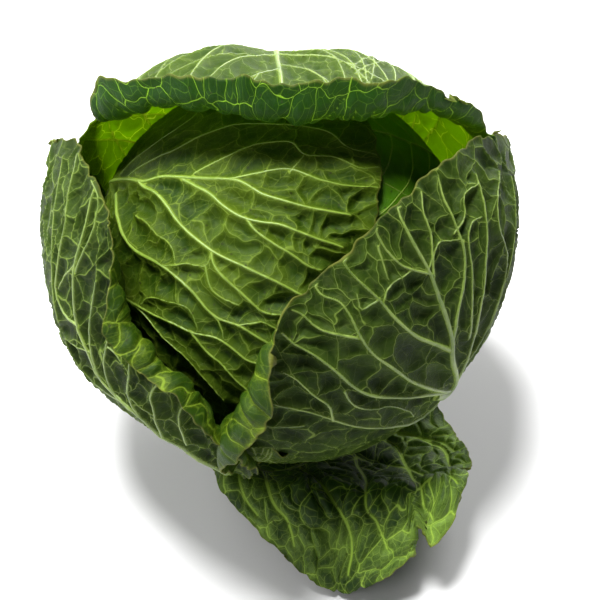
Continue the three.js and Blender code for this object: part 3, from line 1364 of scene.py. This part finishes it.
def sheet_faces(n: int) -> np.ndarray:
    """Lists the faces of a closed sheet: outer face, inner face and rim.

    Args:
        n: its squares along one side.

    Returns:
        The corners of each face.
    """
    index = np.arange((n + 1) ** 2).reshape(n + 1, n + 1)
    a, b = index[:-1, :-1].ravel(), index[:-1, 1:].ravel()
    c, d = index[1:, 1:].ravel(), index[1:, :-1].ravel()
    back = (n + 1) ** 2
    outer = np.stack([a, b, c, d], axis=1)
    inner = np.stack([a, d, c, b], axis=1) + back
    rim = np.concatenate([index[0, :-1], index[:-1, -1], index[-1, :0:-1], index[:0:-1, 0]])
    after = np.roll(rim, -1)
    edge = np.stack([after, rim, rim + back, after + back], axis=1)
    return np.concatenate([outer, inner, edge])


def mesh_object(name: str, vertices: np.ndarray, faces: np.ndarray | list) -> bpy.types.Object:
    """Makes a mesh object at the origin.

    Args:
        name: the object's name.
        vertices: its points in metres.
        faces: the indices of each face.

    Returns:
        The object, linked to the scene.
    """
    mesh = bpy.data.meshes.new(name)
    mesh.from_pydata(vertices.tolist(), [], [list(map(int, f)) for f in faces])
    mesh.update()
    body = bpy.data.objects.new(name, mesh)
    bpy.context.scene.collection.objects.link(body)
    return body


def store(body: bpy.types.Object, name: str, kind: str, values: np.ndarray) -> None:
    """Stores an attribute on an object's points.

    Args:
        body: the object.
        name: the attribute's name.
        kind: its data type.
        values: its value at each point.
    """
    made = body.data.attributes.new(name, kind, "POINT")
    part = "vector" if kind == "FLOAT_VECTOR" else "value"
    made.data.foreach_set(part, values.astype(np.float32).ravel())


def place_piece(body: bpy.types.Object, slot: Slot, *nodes: str) -> None:
    """Makes a piece ride on the root and stand for its CAD nodes.

    Args:
        body: the piece.
        slot: its material slot; not used.
        nodes: the CAD nodes that it stands for.
    """
    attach(body, ROOT)
    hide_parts(*nodes)


LEAVES = (
    Leaf(
        name="rear_heart_leaf", slot=Slot.HEART, face=(112, 38), heading=-6, half_width=82,
        half_length=78,
        outline=(1,) * RING_PLACES,
        radii=((78, 78.5, 80.5, 81, 81),) * 5,
        outside=REAR_OUTSIDE, inside=HEART_INSIDE, flesh=HEART_VEIN, steps=120, seed=2, ruffle=0.3,
        veins=(Vein(((0, -0.9), (0, 0), (0, 0.9)), 1.2, 0.4),),
        sides=(SideVeins(1, seed=21, base=0.5), SideVeins(-1, seed=22, base=0.5)),
        net=VeinNet(cell=1.6, seed=2.0),
        relief=Relief(pillow=0.3, sag=0.3, net=0.1, crumple=0.2),
    ),
    Leaf(
        name="front_heart_leaf", slot=Slot.HEART, face=(-64, 36), heading=40, half_width=84,
        half_length=80,
        outline=(0.92, 1.0, 1.05, 1, 1, 1, 1, 1, 1, 0.9, 0.96, 0.98),
        radii=((84.5,) * 5,) * 5,
        outside=HEART_OUTSIDE, inside=HEART_INSIDE, flesh=HEART_VEIN, seed=3, ruffle=0.5,
        veins=(
            Vein(((-0.29, -0.37), (-0.25, -0.14), (-0.23, 0.08), (-0.2, 0.26), (-0.19, 0.42),
                  (-0.14, 0.54), (-0.1, 0.68), (-0.08, 0.79), (-0.07, 0.87)), 1.27, 0.42),
            Vein(((-0.2, 0.26), (-0.2, 0.38), (-0.22, 0.49),
                  (-0.24, 0.6), (-0.21, 0.72), (-0.2, 0.84), (-0.22, 0.96)), 0.68, 0.26),
            Vein(((-0.24, -0.04), (-0.16, 0.09), (-0.07, 0.19), (0.03, 0.31),
                  (0.07, 0.36), (0.13, 0.46), (0.18, 0.54), (0.25, 0.64)), 0.98, 0.42),
            Vein(((-0.2, -0.2), (-0.11, -0.14), (0.01, -0.03), (0.09, 0.12), (0.18, 0.23),
                  (0.27, 0.29), (0.32, 0.37), (0.37, 0.42), (0.41, 0.46)), 1.05, 0.34),
            Vein(((0.07, 0.35), (0.12, 0.35), (0.18, 0.39),
                  (0.26, 0.45), (0.29, 0.48), (0.32, 0.57)), 0.6, 0.3),
            Vein(((-0.2, 0.2), (-0.13, 0.34), (-0.05, 0.48),
                  (-0.02, 0.62), (0.04, 0.76), (0.07, 0.84)), 0.9, 0.38),
            Vein(((-0.05, 0.49), (0.02, 0.55), (0.09, 0.64), (0.14, 0.7), (0.16, 0.74)),
                 0.52, 0.26),
            Vein(((0.04, -0.27), (0.15, -0.15), (0.23, 0), (0.27, 0.11),
                  (0.31, 0.18), (0.34, 0.26), (0.38, 0.3), (0.44, 0.34), (0.47, 0.39)), 0.75, 0.34),
            Vein(((0.31, 0.18), (0.38, 0.21), (0.46, 0.25), (0.51, 0.27), (0.56, 0.29)), 0.52, 0.3),
            Vein(((0.13, -0.19), (0.23, -0.03), (0.33, 0.05),
                  (0.4, 0.11), (0.49, 0.15), (0.58, 0.17)), 0.52, 0.26),
            Vein(((-0.22, 0.24), (-0.26, 0.31), (-0.33, 0.42), (-0.35, 0.48), (-0.36, 0.57),
                  (-0.31, 0.64), (-0.32, 0.75), (-0.29, 0.86), (-0.32, 0.93)), 0.52, 0.21),
            Vein(((-0.26, -0.14), (-0.32, -0.02), (-0.34, 0.12), (-0.38, 0.21), (-0.44, 0.35),
                  (-0.45, 0.54), (-0.44, 0.69), (-0.38, 0.79), (-0.39, 0.91)), 0.52, 0.21),
            Vein(((-0.29, -0.23), (-0.35, -0.13), (-0.43, 0.02), (-0.49, 0.12), (-0.56, 0.15)),
                 0.38, 0.21),
            Vein(((-0.1, -0.01), (-0.03, 0.1), (0.03, 0.18), (0.08, 0.19)), 0.38, 0.17),
            Vein(((0.09, 0.12), (0.1, 0.23), (0.11, 0.31), (0.07, 0.35)), 0.34, 0.17),
            Vein(((0.11, 0.31), (0.18, 0.31), (0.22, 0.34), (0.25, 0.39)), 0.38, 0.21),
            Vein(((0.21, -0.01), (0.19, 0.04), (0.2, 0.13), (0.24, 0.2), (0.3, 0.21)), 0.34, 0.17),
            Vein(((-0.23, 0.61), (-0.28, 0.63), (-0.31, 0.64)), 0.38, 0.17),
            Vein(((0.32, 0.36), (0.32, 0.43), (0.33, 0.47), (0.38, 0.52)), 0.38, 0.17),
            Vein(((0.27, 0.29), (0.31, 0.3), (0.35, 0.29)), 0.34, 0.17),
        ),
        net=VeinNet(cell=1.45, seed=3.0, lean=35, stretch=0.8),
        relief=Relief(pillow=2.6, sag=1.6, crumple=0.6, calm=(-3.6, -1.8, 0.25)),
    ),
    Leaf(
        name="crumpled_inner_leaf", slot=Slot.OUTER, face=(-20, -38), heading=0, half_width=22,
        half_length=34,
        outline=(1,) * RING_PLACES,
        radii=((88, 88, 88, 87.8, 87.6), (88, 88, 88, 87.8, 87.6), (88.5, 88.5, 88, 87.8, 87.6),
               (90, 90, 89, 88, 87.6), (92, 92, 90, 88.4, 87.8)),
        outside=WRAPPER_OUTSIDE, inside=WRAPPER_INSIDE, flesh=WRAPPER_VEIN, steps=80, seed=4,
        veins=(Vein(((0, -0.9), (0, 0), (0.1, 0.8)), 0.8, 0.3),),
        sides=(SideVeins(1, seed=41, base=0.4, gap=0.3), SideVeins(-1, seed=42, base=0.4, gap=0.3)),
        net=VeinNet(cell=0.8, seed=4.0), relief=Relief(pillow=0.9, sag=0.6),
    ),
    Leaf(
        name="hood_leaf", slot=Slot.OUTER, face=(180, 10), heading=0, half_width=78, half_length=86,
        outline=(1.12, 1.05, 0.90, 0.9, 0.92, 0.96, 0.98, 0.96, 0.92, 0.94, 0.94, 1.07),
        radii=((88.5, 88.5, 88, 88.5, 88.5), (93, 91, 90, 91, 93), (100, 97, 95, 97, 98),
               (108, 101, 99, 104, 107), (114, 103, 100, 108, 112)),
        roll=Roll(radius=7, turn=120, widths=(24, 20, 4, -13, -6, 0, 0, 0, 0, 0, 8, 22)),
        outside=HOOD_OUTSIDE, inside=WRAPPER_INSIDE, flesh=WRAPPER_VEIN, seed=5, steps=172,
        keel=(6.0, 0.14),
        notches=(Notch(40, 8, -0.06), Notch(54, 8, 0.05)),
        veins=(Vein(((0, -0.97), (0, -0.4), (0.02, 0.2), (0, 0.9)), 3.4, 0.7),),
        sides=(SideVeins(1, seed=51, base=1.0, gap=0.15),
               SideVeins(-1, seed=52, base=1.0, gap=0.15)),
        net=VeinNet(cell=1.35, seed=5.0), relief=Relief(pillow=1.5, sag=1.2),
    ),
    Leaf(
        name="right_wrapper_leaf", slot=Slot.OUTER, face=(50, -12), heading=0, half_width=70,
        half_length=66,
        outline=(1, 1, 0.98, 1.06, 1.0, 0.98, 0.97, 0.92, 0.88, 1.04, 1.09, 1.0),
        radii=((91, 91, 91, 92, 93), (91, 91, 91.5, 94.5, 98), (90.5, 91, 94, 99, 105),
               (91, 92, 97, 106, 114), (92, 93, 98, 109, 120)),
        roll=Roll(radius=8, turn=150, widths=(0, 0, 0, 0, 0, 0, 0, 0, 6, 20, 25, 2)),
        outside=WRAPPER_OUTSIDE, inside=STRIP_INSIDE, flesh=WRAPPER_VEIN, seed=6,
        veins=(
            Vein(((-0.09, 0.09), (-0.01, 0.01), (0.01, 0.08), (-0.03, 0.26), (-0.02, 0.39),
                  (-0.03, 0.57), (-0.03, 0.71), (-0.04, 0.84), (-0.03, 0.94), (0, 1)), 2.08, 0.42),
            Vein(((-0.02, 0.38), (0.03, 0.48), (0.1, 0.59),
                  (0.15, 0.69), (0.18, 0.79), (0.2, 0.87), (0.24, 0.93)), 0.96, 0.34),
            Vein(((0.01, 0.09), (0.05, 0.21), (0.13, 0.39),
                  (0.21, 0.55), (0.27, 0.64), (0.32, 0.72), (0.39, 0.81)), 0.96, 0.34),
            Vein(((-0.04, 0.34), (-0.12, 0.44), (-0.18, 0.52), (-0.24, 0.64),
                  (-0.27, 0.74), (-0.32, 0.86), (-0.33, 0.93), (-0.32, 0.95)), 1.04, 0.3),
            Vein(((-0.01, 0.04), (-0.13, 0.18), (-0.22, 0.29), (-0.3, 0.42), (-0.36, 0.52),
                  (-0.39, 0.62), (-0.4, 0.72), (-0.42, 0.78), (-0.47, 0.82), (-0.48, 0.88)),
                 0.96, 0.3),
            Vein(((-0.01, 0.04), (-0.13, 0.14), (-0.25, 0.21), (-0.37, 0.29), (-0.43, 0.36),
                  (-0.49, 0.46), (-0.55, 0.54), (-0.62, 0.61), (-0.65, 0.67)), 1.12, 0.34),
            Vein(((-0.06, -0.02), (-0.14, -0.08), (-0.26, 0.02),
                  (-0.38, 0.09), (-0.48, 0.17), (-0.57, 0.23), (-0.7, 0.27)), 0.96, 0.3),
            Vein(((-0.5, 0.18), (-0.51, 0.26), (-0.57, 0.34), (-0.62, 0.42), (-0.66, 0.45)),
                 0.56, 0.26),
            Vein(((-0.4, 0.61), (-0.46, 0.64), (-0.52, 0.67), (-0.56, 0.74), (-0.59, 0.77)),
                 0.64, 0.26),
            Vein(((-0.02, 0.7), (-0.08, 0.76), (-0.13, 0.82),
                  (-0.15, 0.9), (-0.15, 0.95), (-0.14, 0.99)), 0.64, 0.26),
            Vein(((-0.02, 0.69), (0.02, 0.77), (0.05, 0.83), (0.08, 0.91), (0.13, 0.96)),
                 0.64, 0.26),
            Vein(((0.06, 0.32), (0.11, 0.49), (0.16, 0.63),
                  (0.19, 0.7), (0.24, 0.73), (0.29, 0.71)), 0.64, 0.26),
            Vein(((0.07, 0.19), (0.21, 0.28), (0.32, 0.39),
                  (0.35, 0.48), (0.34, 0.61), (0.41, 0.68), (0.52, 0.7)), 0.64, 0.26),
            Vein(((0.2, 0.24), (0.31, 0.35), (0.41, 0.45), (0.5, 0.53), (0.61, 0.59)), 0.56, 0.26),
            Vein(((-0.04, 0.72), (0.06, 0.78), (0.12, 0.75), (0.17, 0.71)), 0.4, 0.17),
            Vein(((-0.27, 0.74), (-0.3, 0.73), (-0.35, 0.73), (-0.34, 0.79)), 0.4, 0.17),
            Vein(((-0.25, 0.73), (-0.22, 0.76), (-0.16, 0.77), (-0.1, 0.77)), 0.4, 0.17),
            Vein(((-0.17, 0.92), (-0.19, 0.85), (-0.2, 0.79)), 0.4, 0.17),
            Vein(((-0.61, 0.15), (-0.69, 0.13), (-0.74, 0.12)), 0.4, 0.17),
            Vein(((-0.46, 0.34), (-0.43, 0.26), (-0.36, 0.2),
                  (-0.29, 0.18), (-0.21, 0.1), (-0.18, 0.03)), 0.48, 0.21),
            Vein(((0.15, 0.76), (0.23, 0.77), (0.29, 0.82), (0.37, 0.79)), 0.4, 0.17),
        ),
        net=VeinNet(cell=1.35, seed=6.0), relief=Relief(pillow=2.1, sag=1.3, crumple=0.7),
    ),
    Leaf(
        name="left_wrapper_leaf", slot=Slot.OUTER, face=(-66, -16), heading=0, half_width=52,
        half_length=60,
        outline=(0.99, 0.93, 1.03, 1.08, 0.95, 0.96, 1, 1, 1.05, 1.1, 1.0, 1.05),
        radii=((94.5,) * 5, (98, 97, 96, 95, 94.5), (106, 104, 102, 98, 95),
               (113, 110, 105, 99, 97), (116, 114, 108, 100, 98)),
        roll=Roll(radius=6.5, turn=150, widths=(0, 18, 14, 10, 3, 0, 0, 0, 0, 0, 0, 0)),
        outside=WRAPPER_OUTSIDE, inside=STRIP_INSIDE, flesh=WRAPPER_VEIN, seed=7,
        veins=(
            Vein(((0.81, -0.35), (0.72, -0.19), (0.66, 0.01), (0.58, 0.05), (0.51, 0.16),
                  (0.41, 0.2), (0.29, 0.25), (0.23, 0.39), (0.14, 0.48), (0.08, 0.6),
                  (0.03, 0.72), (0, 0.82), (-0.05, 0.9), (-0.11, 0.97)), 1.76, 0.51),
            Vein(((0.14, 0.49), (0.02, 0.46), (-0.07, 0.51), (-0.1, 0.64),
                  (-0.14, 0.76), (-0.23, 0.83), (-0.3, 0.89), (-0.37, 0.92)), 0.8, 0.3),
            Vein(((0.29, 0.25), (0.26, 0.38), (0.23, 0.52), (0.21, 0.68), (0.19, 0.78)), 0.72, 0.3),
            Vein(((0.39, 0.19), (0.34, 0.31), (0.35, 0.51), (0.37, 0.62)), 0.72, 0.3),
            Vein(((0.51, 0.16), (0.47, 0.28), (0.49, 0.41), (0.5, 0.56)), 0.72, 0.3),
            Vein(((0.58, 0.05), (0.6, 0.26), (0.6, 0.35), (0.65, 0.47)), 0.72, 0.3),
            Vein(((0.7, 0.05), (0.71, 0.18), (0.72, 0.27), (0.75, 0.34)), 0.64, 0.26),
            Vein(((-0.03, 0.36), (-0.11, 0.47), (-0.18, 0.59),
                  (-0.29, 0.69), (-0.39, 0.75), (-0.47, 0.8)), 0.48, 0.26),
            Vein(((0.05, 0.71), (0.04, 0.85), (-0.01, 0.94), (-0.09, 0.99), (-0.16, 0.99)),
                 0.48, 0.26),
            Vein(((0.03, 0.73), (-0.02, 0.62), (-0.05, 0.53)), 0.4, 0.21),
            Vein(((0.36, 0.52), (0.43, 0.5), (0.49, 0.43)), 0.4, 0.17),
            Vein(((0.47, 0.28), (0.53, 0.25), (0.6, 0.22)), 0.4, 0.17),
            Vein(((0.24, 0.41), (0.14, 0.36), (0.02, 0.32)), 0.4, 0.17),
            Vein(((0.39, 0.19), (0.3, 0.16), (0.2, 0.16), (0.11, 0.23), (0.03, 0.29)), 0.48, 0.21),
        ),
        net=VeinNet(cell=0.95, seed=7.0, lean=80, stretch=1.8),
        relief=Relief(pillow=2.2, sag=1.4, crumple=0.6),
    ),
    Leaf(
        name="front_wrapper_leaf", slot=Slot.OUTER, face=(20, -56), heading=-4, half_width=36,
        half_length=42,
        outline=(0.965, 0.985, 0.91, 0.86, 0.95, 0.62, 0.52, 0.62, 0.85, 0.88, 0.88, 0.935),
        radii=((98.4, 98.4, 98.4, 98.4, 99), (98.4, 98.4, 99, 104, 111), (98.6, 99, 102, 112, 122),
               (99.5, 101, 106, 116, 126), (100, 103, 110, 118, 128)),
        roll=Roll(radius=12, turn=84, widths=(52, 36, 0, 0, 0, 0, 0, 0, 0, 10, 30, 46)),
        outside=WRAPPER_OUTSIDE, inside=FRONT_INSIDE, flesh=WRAPPER_VEIN, seed=8, ruffle=0.9,
        notches=(Notch(32, 2.5, 0.13, 0.4), Notch(39, 6, -0.06, 0.6), Notch(56, 4, 0.05)),
        veins=(
            Vein(((-0.81, -0.42), (-0.7, -0.2), (-0.56, 0.02), (-0.32, 0.02), (0.08, -0.19),
                  (0.41, -0.25), (0.69, -0.17), (0.85, 0.06), (0.77, 0.36)), 1.4, 0.5),
            Vein(((-0.78, -0.32), (-0.78, 0), (-0.82, 0.27), (-0.8, 0.39)), 0.8, 0.3),
            Vein(((-0.56, 0.02), (-0.59, 0.36), (-0.53, 0.5), (-0.56, 0.65)), 0.8, 0.3),
            Vein(((-0.24, 0.04), (-0.15, 0.3), (-0.1, 0.43), (0, 0.6), (0.04, 0.75), (0, 0.89)),
                 0.8, 0.3),
            Vein(((0.23, -0.21), (0.22, 0.11), (0.12, 0.51), (0.2, 0.66), (0.29, 0.8)), 0.8, 0.3),
            Vein(((0.48, -0.22), (0.58, -0.01), (0.45, 0.58), (0.53, 0.71)), 0.8, 0.3),
            Vein(((0.62, -0.19), (0.76, -0.12), (0.88, 0), (0.89, 0.21)), 0.7, 0.3),
            Vein(((0.11, -0.23), (0.28, -0.06), (0.53, 0.11), (0.59, 0.45), (0.69, 0.64)),
                 0.6, 0.3),
        ),
        net=VeinNet(cell=1.0, seed=8.0),
        relief=Relief(pillow=2.2, sag=1.2, crumple=1.2, calm=(-4.0, -1.5, 0.35)),
    ),
)


# ---------------------------------------------------------------------------------------------
# Heart and stalk
# ---------------------------------------------------------------------------------------------


@dataclass
class Heart:
    """The ball of folded leaves under the heart leaves, seen only from below and through gaps.

    inset is how far it stays inside its CAD box, in millimetres. laps is how many leaf edges show
    round it, twist how far they lean, and girth its radius in the vein pattern, in centimetres.
    """

    rings: int = 72
    spokes: int = 144
    inset: float = 1.3
    laps: int = 14
    twist: float = 0.6
    girth: float = 7.8

    def build(self, low: np.ndarray, high: np.ndarray) -> bpy.types.Object:
        """Builds the ball inside its CAD box.

        Args:
            low: the box's lowest corner in metres.
            high: its highest corner.

        Returns:
            The piece.
        """
        centre = (low + high) / 2
        radius = (high - low).min() / 2 - self.inset * MM
        around = np.linspace(0, 2 * math.pi, self.spokes, endpoint=False)
        up = np.linspace(-math.pi / 2, math.pi / 2, self.rings + 1)[1:-1]
        a, b = np.meshgrid(around, up)
        ways = np.stack([np.sin(a) * np.cos(b), -np.cos(a) * np.cos(b), np.sin(b)], axis=-1)
        ways = ways.reshape(-1, 3)
        ways = np.concatenate([ways, [[0, 0, -1], [0, 0, 1]]])
        body = mesh_object("heart_piece", centre + ways * radius, self._faces())
        turn = np.arctan2(ways[:, 0], -ways[:, 1])
        lap = np.abs((turn / (2 * math.pi) * self.laps + self.twist * ways[:, 2]) % 1 - 0.5)
        blade = np.stack([turn * self.girth, (np.arcsin(ways[:, 2]) + 1.6) * self.girth,
                          np.full(len(ways), 0.5)], axis=1)
        store(body, "blade", "FLOAT_VECTOR", blade)
        store(body, "vein", "FLOAT_VECTOR", np.stack([lap * 2.4, lap * 0, lap * 0], axis=1))
        store(body, "outward", "FLOAT_VECTOR", ways)
        store(body, "side", "FLOAT", np.ones(len(ways)))
        net = VeinNet(seed=9.0)
        finish = HEART_OUTSIDE.material(net, "heart")
        relief = Relief(pillow=0.5, sag=0.6, net=0.1, crumple=0.2)
        relief.apply(body, net, {Skin.OUTER: finish, Skin.INNER: finish})
        body.data.shade_smooth()
        place_piece(body, Slot.HEART, "heart")
        LOG.info("heart: %d faces", len(body.data.polygons))
        return body

    def _faces(self) -> list[tuple[int, ...]]:
        """Lists the ball's faces, outward.

        Returns:
            The corners of each face.
        """
        n, rows = self.spokes, self.rings - 1
        south, north = n * rows, n * rows + 1
        faces = [(j * n + i, j * n + (i + 1) % n, (j + 1) * n + (i + 1) % n, (j + 1) * n + i)
                 for j in range(rows - 1) for i in range(n)]
        faces += [(south, (i + 1) % n, i) for i in range(n)]
        top = (rows - 1) * n
        return faces + [(north, top + i, top + (i + 1) % n) for i in range(n)]


@dataclass
class Stalk:
    """The cut stalk that the head stands on, with a ring of vessels in its cut face.

    Sizes are in millimetres. foot is how far the cut face stands above the table and dish how much
    deeper it is in the middle. wind is how far the leaf scars turn round the stalk over its height,
    and fibres gives each ripple's depth, its waves round the stalk and its lean.
    """

    foot: float = 0.4
    dish: float = 0.5
    rim: float = 1.0
    waist: float = 1.3
    rings: int = 30
    spokes: int = 96
    scar_depth: float = 0.7
    scars: int = 5
    wind: float = 1.7
    fibres: tuple[tuple[float, int, int], ...] = ((0.12, 23, 3), (0.08, 41, -5))
    vessels: int = 26
    vessel_ring: float = 11.3
    vessel_size: float = 0.75
    cut_facing: float = -0.8
    vessel_lift: float = 0.2

    def build(self, low: np.ndarray, high: np.ndarray) -> bpy.types.Object:
        """Builds the stalk inside its CAD box.

        Args:
            low: the box's lowest corner in metres.
            high: its highest corner.

        Returns:
            The piece.
        """
        radius = (high[0] - low[0]) / 2 / MM
        height = (high[2] - low[2]) / MM
        body = self._trunk(radius, height)
        for finish in (STALK_SKIN, STALK_CUT):
            body.data.materials.append(finish.material())
        for face in body.data.polygons:
            face.material_index = int(face.normal.z < self.cut_facing)
        body.data.shade_smooth()
        join_into(body, self._vessels())
        place_piece(body, Slot.STALK, "stalk")
        LOG.info("stalk: %d faces", len(body.data.polygons))
        return body

    def _trunk(self, radius: float, height: float) -> bpy.types.Object:
        """Turns the trunk, closed at both ends, with scars where leaves were cut away.

        Args:
            radius: its radius at the top, in millimetres.
            height: its height in millimetres.

        Returns:
            The trunk.
        """
        up = np.linspace(0, 1, self.rings)
        cut = np.linspace(0.12, 1, 8)[:-1]
        barrel = radius - self.waist * np.sin(up * math.pi) - self.rim * (1 - ease(up, 0, 0.08))
        radii = np.concatenate([(radius - self.rim) * cut, barrel])
        levels = np.concatenate([self.foot + self.dish * (1 - cut) ** 2,
                                 self.foot + (height - self.foot) * up])
        a = np.linspace(0, 2 * math.pi, self.spokes, endpoint=False)
        turn, r = np.meshgrid(a, radii)
        level = np.repeat(levels[:, None], self.spokes, axis=1)
        share = level / height
        spiral = np.abs(((turn / (2 * math.pi) + share * self.wind) * self.scars) % 1 - 0.5) * 2
        scar = self.scar_depth * ease(spiral, 0.75, 1.0) * np.sin(np.clip(share, 0, 1) * math.pi)
        fibre = sum(deep * np.sin(turn * waves + lean * share) for deep, waves, lean in self.fibres)
        r = r - (scar + fibre) * ease(r, 0.7 * radius, 0.95 * radius)
        points = np.stack([np.sin(turn) * r, -np.cos(turn) * r, level], axis=-1).reshape(-1, 3)
        rows, n = len(radii), self.spokes
        points = np.concatenate([points, [[0, 0, self.foot + self.dish], [0, 0, height]]]) * MM
        faces = [(j * n + i, j * n + (i + 1) % n, (j + 1) * n + (i + 1) % n, (j + 1) * n + i)
                 for j in range(rows - 1) for i in range(n)]
        faces += [(rows * n, (i + 1) % n, i) for i in range(n)]
        top = (rows - 1) * n
        faces += [(rows * n + 1, top + i, top + (i + 1) % n) for i in range(n)]
        return mesh_object("stalk_piece", points, faces)

    def _vessels(self) -> bpy.types.Object:
        """Sets the ring of vessels out with Geometry Nodes on the points of a circle.

        Returns:
            The vessels, as one object.
        """
        a = np.linspace(0, 2 * math.pi, self.vessels, endpoint=False)
        ring = np.stack([np.sin(a), np.cos(a), np.zeros_like(a)], axis=1) * self.vessel_ring
        ring[:, 2] = self.foot + self.vessel_lift
        host = mesh_object("vessel_ring", ring * MM, [])
        tree = bpy.data.node_groups.new("vessel_ring", "GeometryNodeTree")
        tree.interface.new_socket("Geometry", in_out="INPUT", socket_type="NodeSocketGeometry")
        tree.interface.new_socket("Size", in_out="INPUT", socket_type="NodeSocketFloat")
        tree.interface.new_socket("Geometry", in_out="OUTPUT", socket_type="NodeSocketGeometry")
        w = Wiring(tree)
        given = w.node("NodeGroupInput")
        bead = w.node("GeometryNodeMeshUVSphere")
        bead.inputs["Segments"].default_value = 10
        bead.inputs["Rings"].default_value = 6
        w.feed(bead.inputs["Radius"], given.outputs["Size"])
        spread = w.node("FunctionNodeRandomValue", data_type="FLOAT_VECTOR")
        spread.inputs[0].default_value = (0.7, 0.7, 0.4)
        spread.inputs[1].default_value = (1.5, 1.1, 0.5)
        spread.inputs["Seed"].default_value = 5
        put = w.node("GeometryNodeInstanceOnPoints")
        w.feed(put.inputs["Points"], given.outputs["Geometry"])
        w.feed(put.inputs["Instance"], bead.outputs["Mesh"])
        w.feed(put.inputs["Scale"], spread.outputs[0])
        real = w.node("GeometryNodeRealizeInstances")
        w.feed(real.inputs[0], put.outputs[0])
        paint = w.node("GeometryNodeSetMaterial")
        w.feed(paint.inputs["Geometry"], real.outputs[0])
        paint.inputs["Material"].default_value = STALK_VESSEL.material()
        w.feed(w.node("NodeGroupOutput").inputs[0], paint.outputs[0])
        return run_tree(host, tree, {"Size": self.vessel_size * MM})


# ---------------------------------------------------------------------------------------------
# Setting
# ---------------------------------------------------------------------------------------------


class LampKind(Enum):
    """What a lamp is."""

    SUN = "SUN"
    AREA = "AREA"


@dataclass(frozen=True)
class Lamp:
    """A soft lamp: its place and size in metres and its power in watts.

    A sun's size is the angle that it spans in the sky, in radians, and its power is in W/m2.
    """

    name: str
    kind: LampKind
    place: tuple[float, float, float]
    size: float
    power: float

    def hang(self, target: Vector) -> None:
        """Adds the lamp, facing its target.

        Args:
            target: the point that the lamp faces.
        """
        data = bpy.data.lights.new(self.name, self.kind.value)
        if self.kind is LampKind.SUN:
            data.angle = self.size
        else:
            data.size = self.size
        data.energy = self.power
        lamp = bpy.data.objects.new(self.name, data)
        lamp.location = Vector(self.place)
        lamp.rotation_mode = "QUATERNION"
        lamp.rotation_quaternion = (target - lamp.location).to_track_quat("-Z", "Y")
        bpy.context.scene.collection.objects.link(lamp)


KEY = Lamp("key", LampKind.SUN, (-0.25, 0.25, 1.3), 0.3, 7.6)
FILLS = (
    Lamp("back", LampKind.AREA, (0.45, 1.1, 0.6), 0.6, 22.0),
    Lamp("left", LampKind.AREA, (-1.1, 0.6, 0.7), 0.6, 16.0),
    Lamp("front", LampKind.AREA, (-1.1, -0.7, 0.6), 0.7, 6.0),
)


@dataclass
class Setting:
    """Floor, lights and camera. Lengths are in metres and the lens in millimetres.

    sky_seen is how bright the sky is to the camera, and sky_light how bright it is as a light.
    """

    elevation: float = 50.0
    distance: float = 0.8
    lens: float = 107.4
    aim_right: float = 0.0067
    aim_down: float = 0.017
    floor_size: float = 60.0
    floor_drop: float = 0.0003
    floor_tone: float = 0.62
    sky_light: float = 0.14
    sky_seen: float = 0.93

    def build(self, centre: Vector) -> None:
        """Sets the scene round the head.

        Args:
            centre: the heart's centre in metres.
        """
        e = math.radians(self.elevation)
        back = Vector((0, -math.cos(e), math.sin(e)))
        up = Vector((0, math.sin(e), math.cos(e)))
        target = centre + Vector((1, 0, 0)) * self.aim_right - up * self.aim_down
        data = bpy.data.cameras.new("camera")
        data.lens = self.lens
        camera = bpy.data.objects.new("camera", data)
        camera.location = centre + back * self.distance
        camera.rotation_mode = "QUATERNION"
        camera.rotation_quaternion = (target - camera.location).to_track_quat("-Z", "Y")
        bpy.context.scene.collection.objects.link(camera)
        bpy.context.scene.camera = camera
        self._floor()
        KEY.hang(Vector())
        for lamp in FILLS:
            lamp.hang(centre)
        world = bpy.data.worlds.new("studio")
        world.use_nodes = True
        w = Wiring(world.node_tree)
        sky = world.node_tree.nodes["Background"]
        sky.inputs["Color"].default_value = (1, 1, 1, 1)
        seen = w.node("ShaderNodeLightPath").outputs["Is Camera Ray"]
        strength = w.ramp(seen, 0.0, 1.0, self.sky_light, self.sky_seen, smooth=False)
        w.feed(sky.inputs["Strength"], strength)
        bpy.context.scene.world = world
        bpy.context.scene.view_settings.view_transform = "Standard"

    def _floor(self) -> None:
        """Lays the pale floor under the stalk."""
        half = self.floor_size / 2
        corners = np.array([[-half, -half, 0], [half, -half, 0], [half, half, 0], [-half, half, 0]])
        floor = mesh_object("floor", corners - [0, 0, self.floor_drop], [(0, 1, 2, 3)])
        pale = bpy.data.materials.new("floor_pale")
        pale.use_nodes = True
        shell = pale.node_tree.nodes["Principled BSDF"]
        shell.inputs["Base Color"].default_value = (*[self.floor_tone] * 3, 1)
        shell.inputs["Roughness"].default_value = 0.8
        floor.data.materials.append(pale)


def main() -> None:
    """Builds every piece and the setting."""
    logging.basicConfig(level=logging.INFO, format="%(message)s")
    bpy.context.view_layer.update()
    low, high = (np.array(corner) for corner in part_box("heart"))
    centre = (low + high) / 2
    Setting().build(Vector(centre))
    Stalk().build(*(np.array(corner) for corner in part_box("stalk")))
    Heart().build(low, high)
    for leaf in LEAVES:
        leaf.build(centre)
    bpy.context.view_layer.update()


if __name__ == "__main__":
    main()
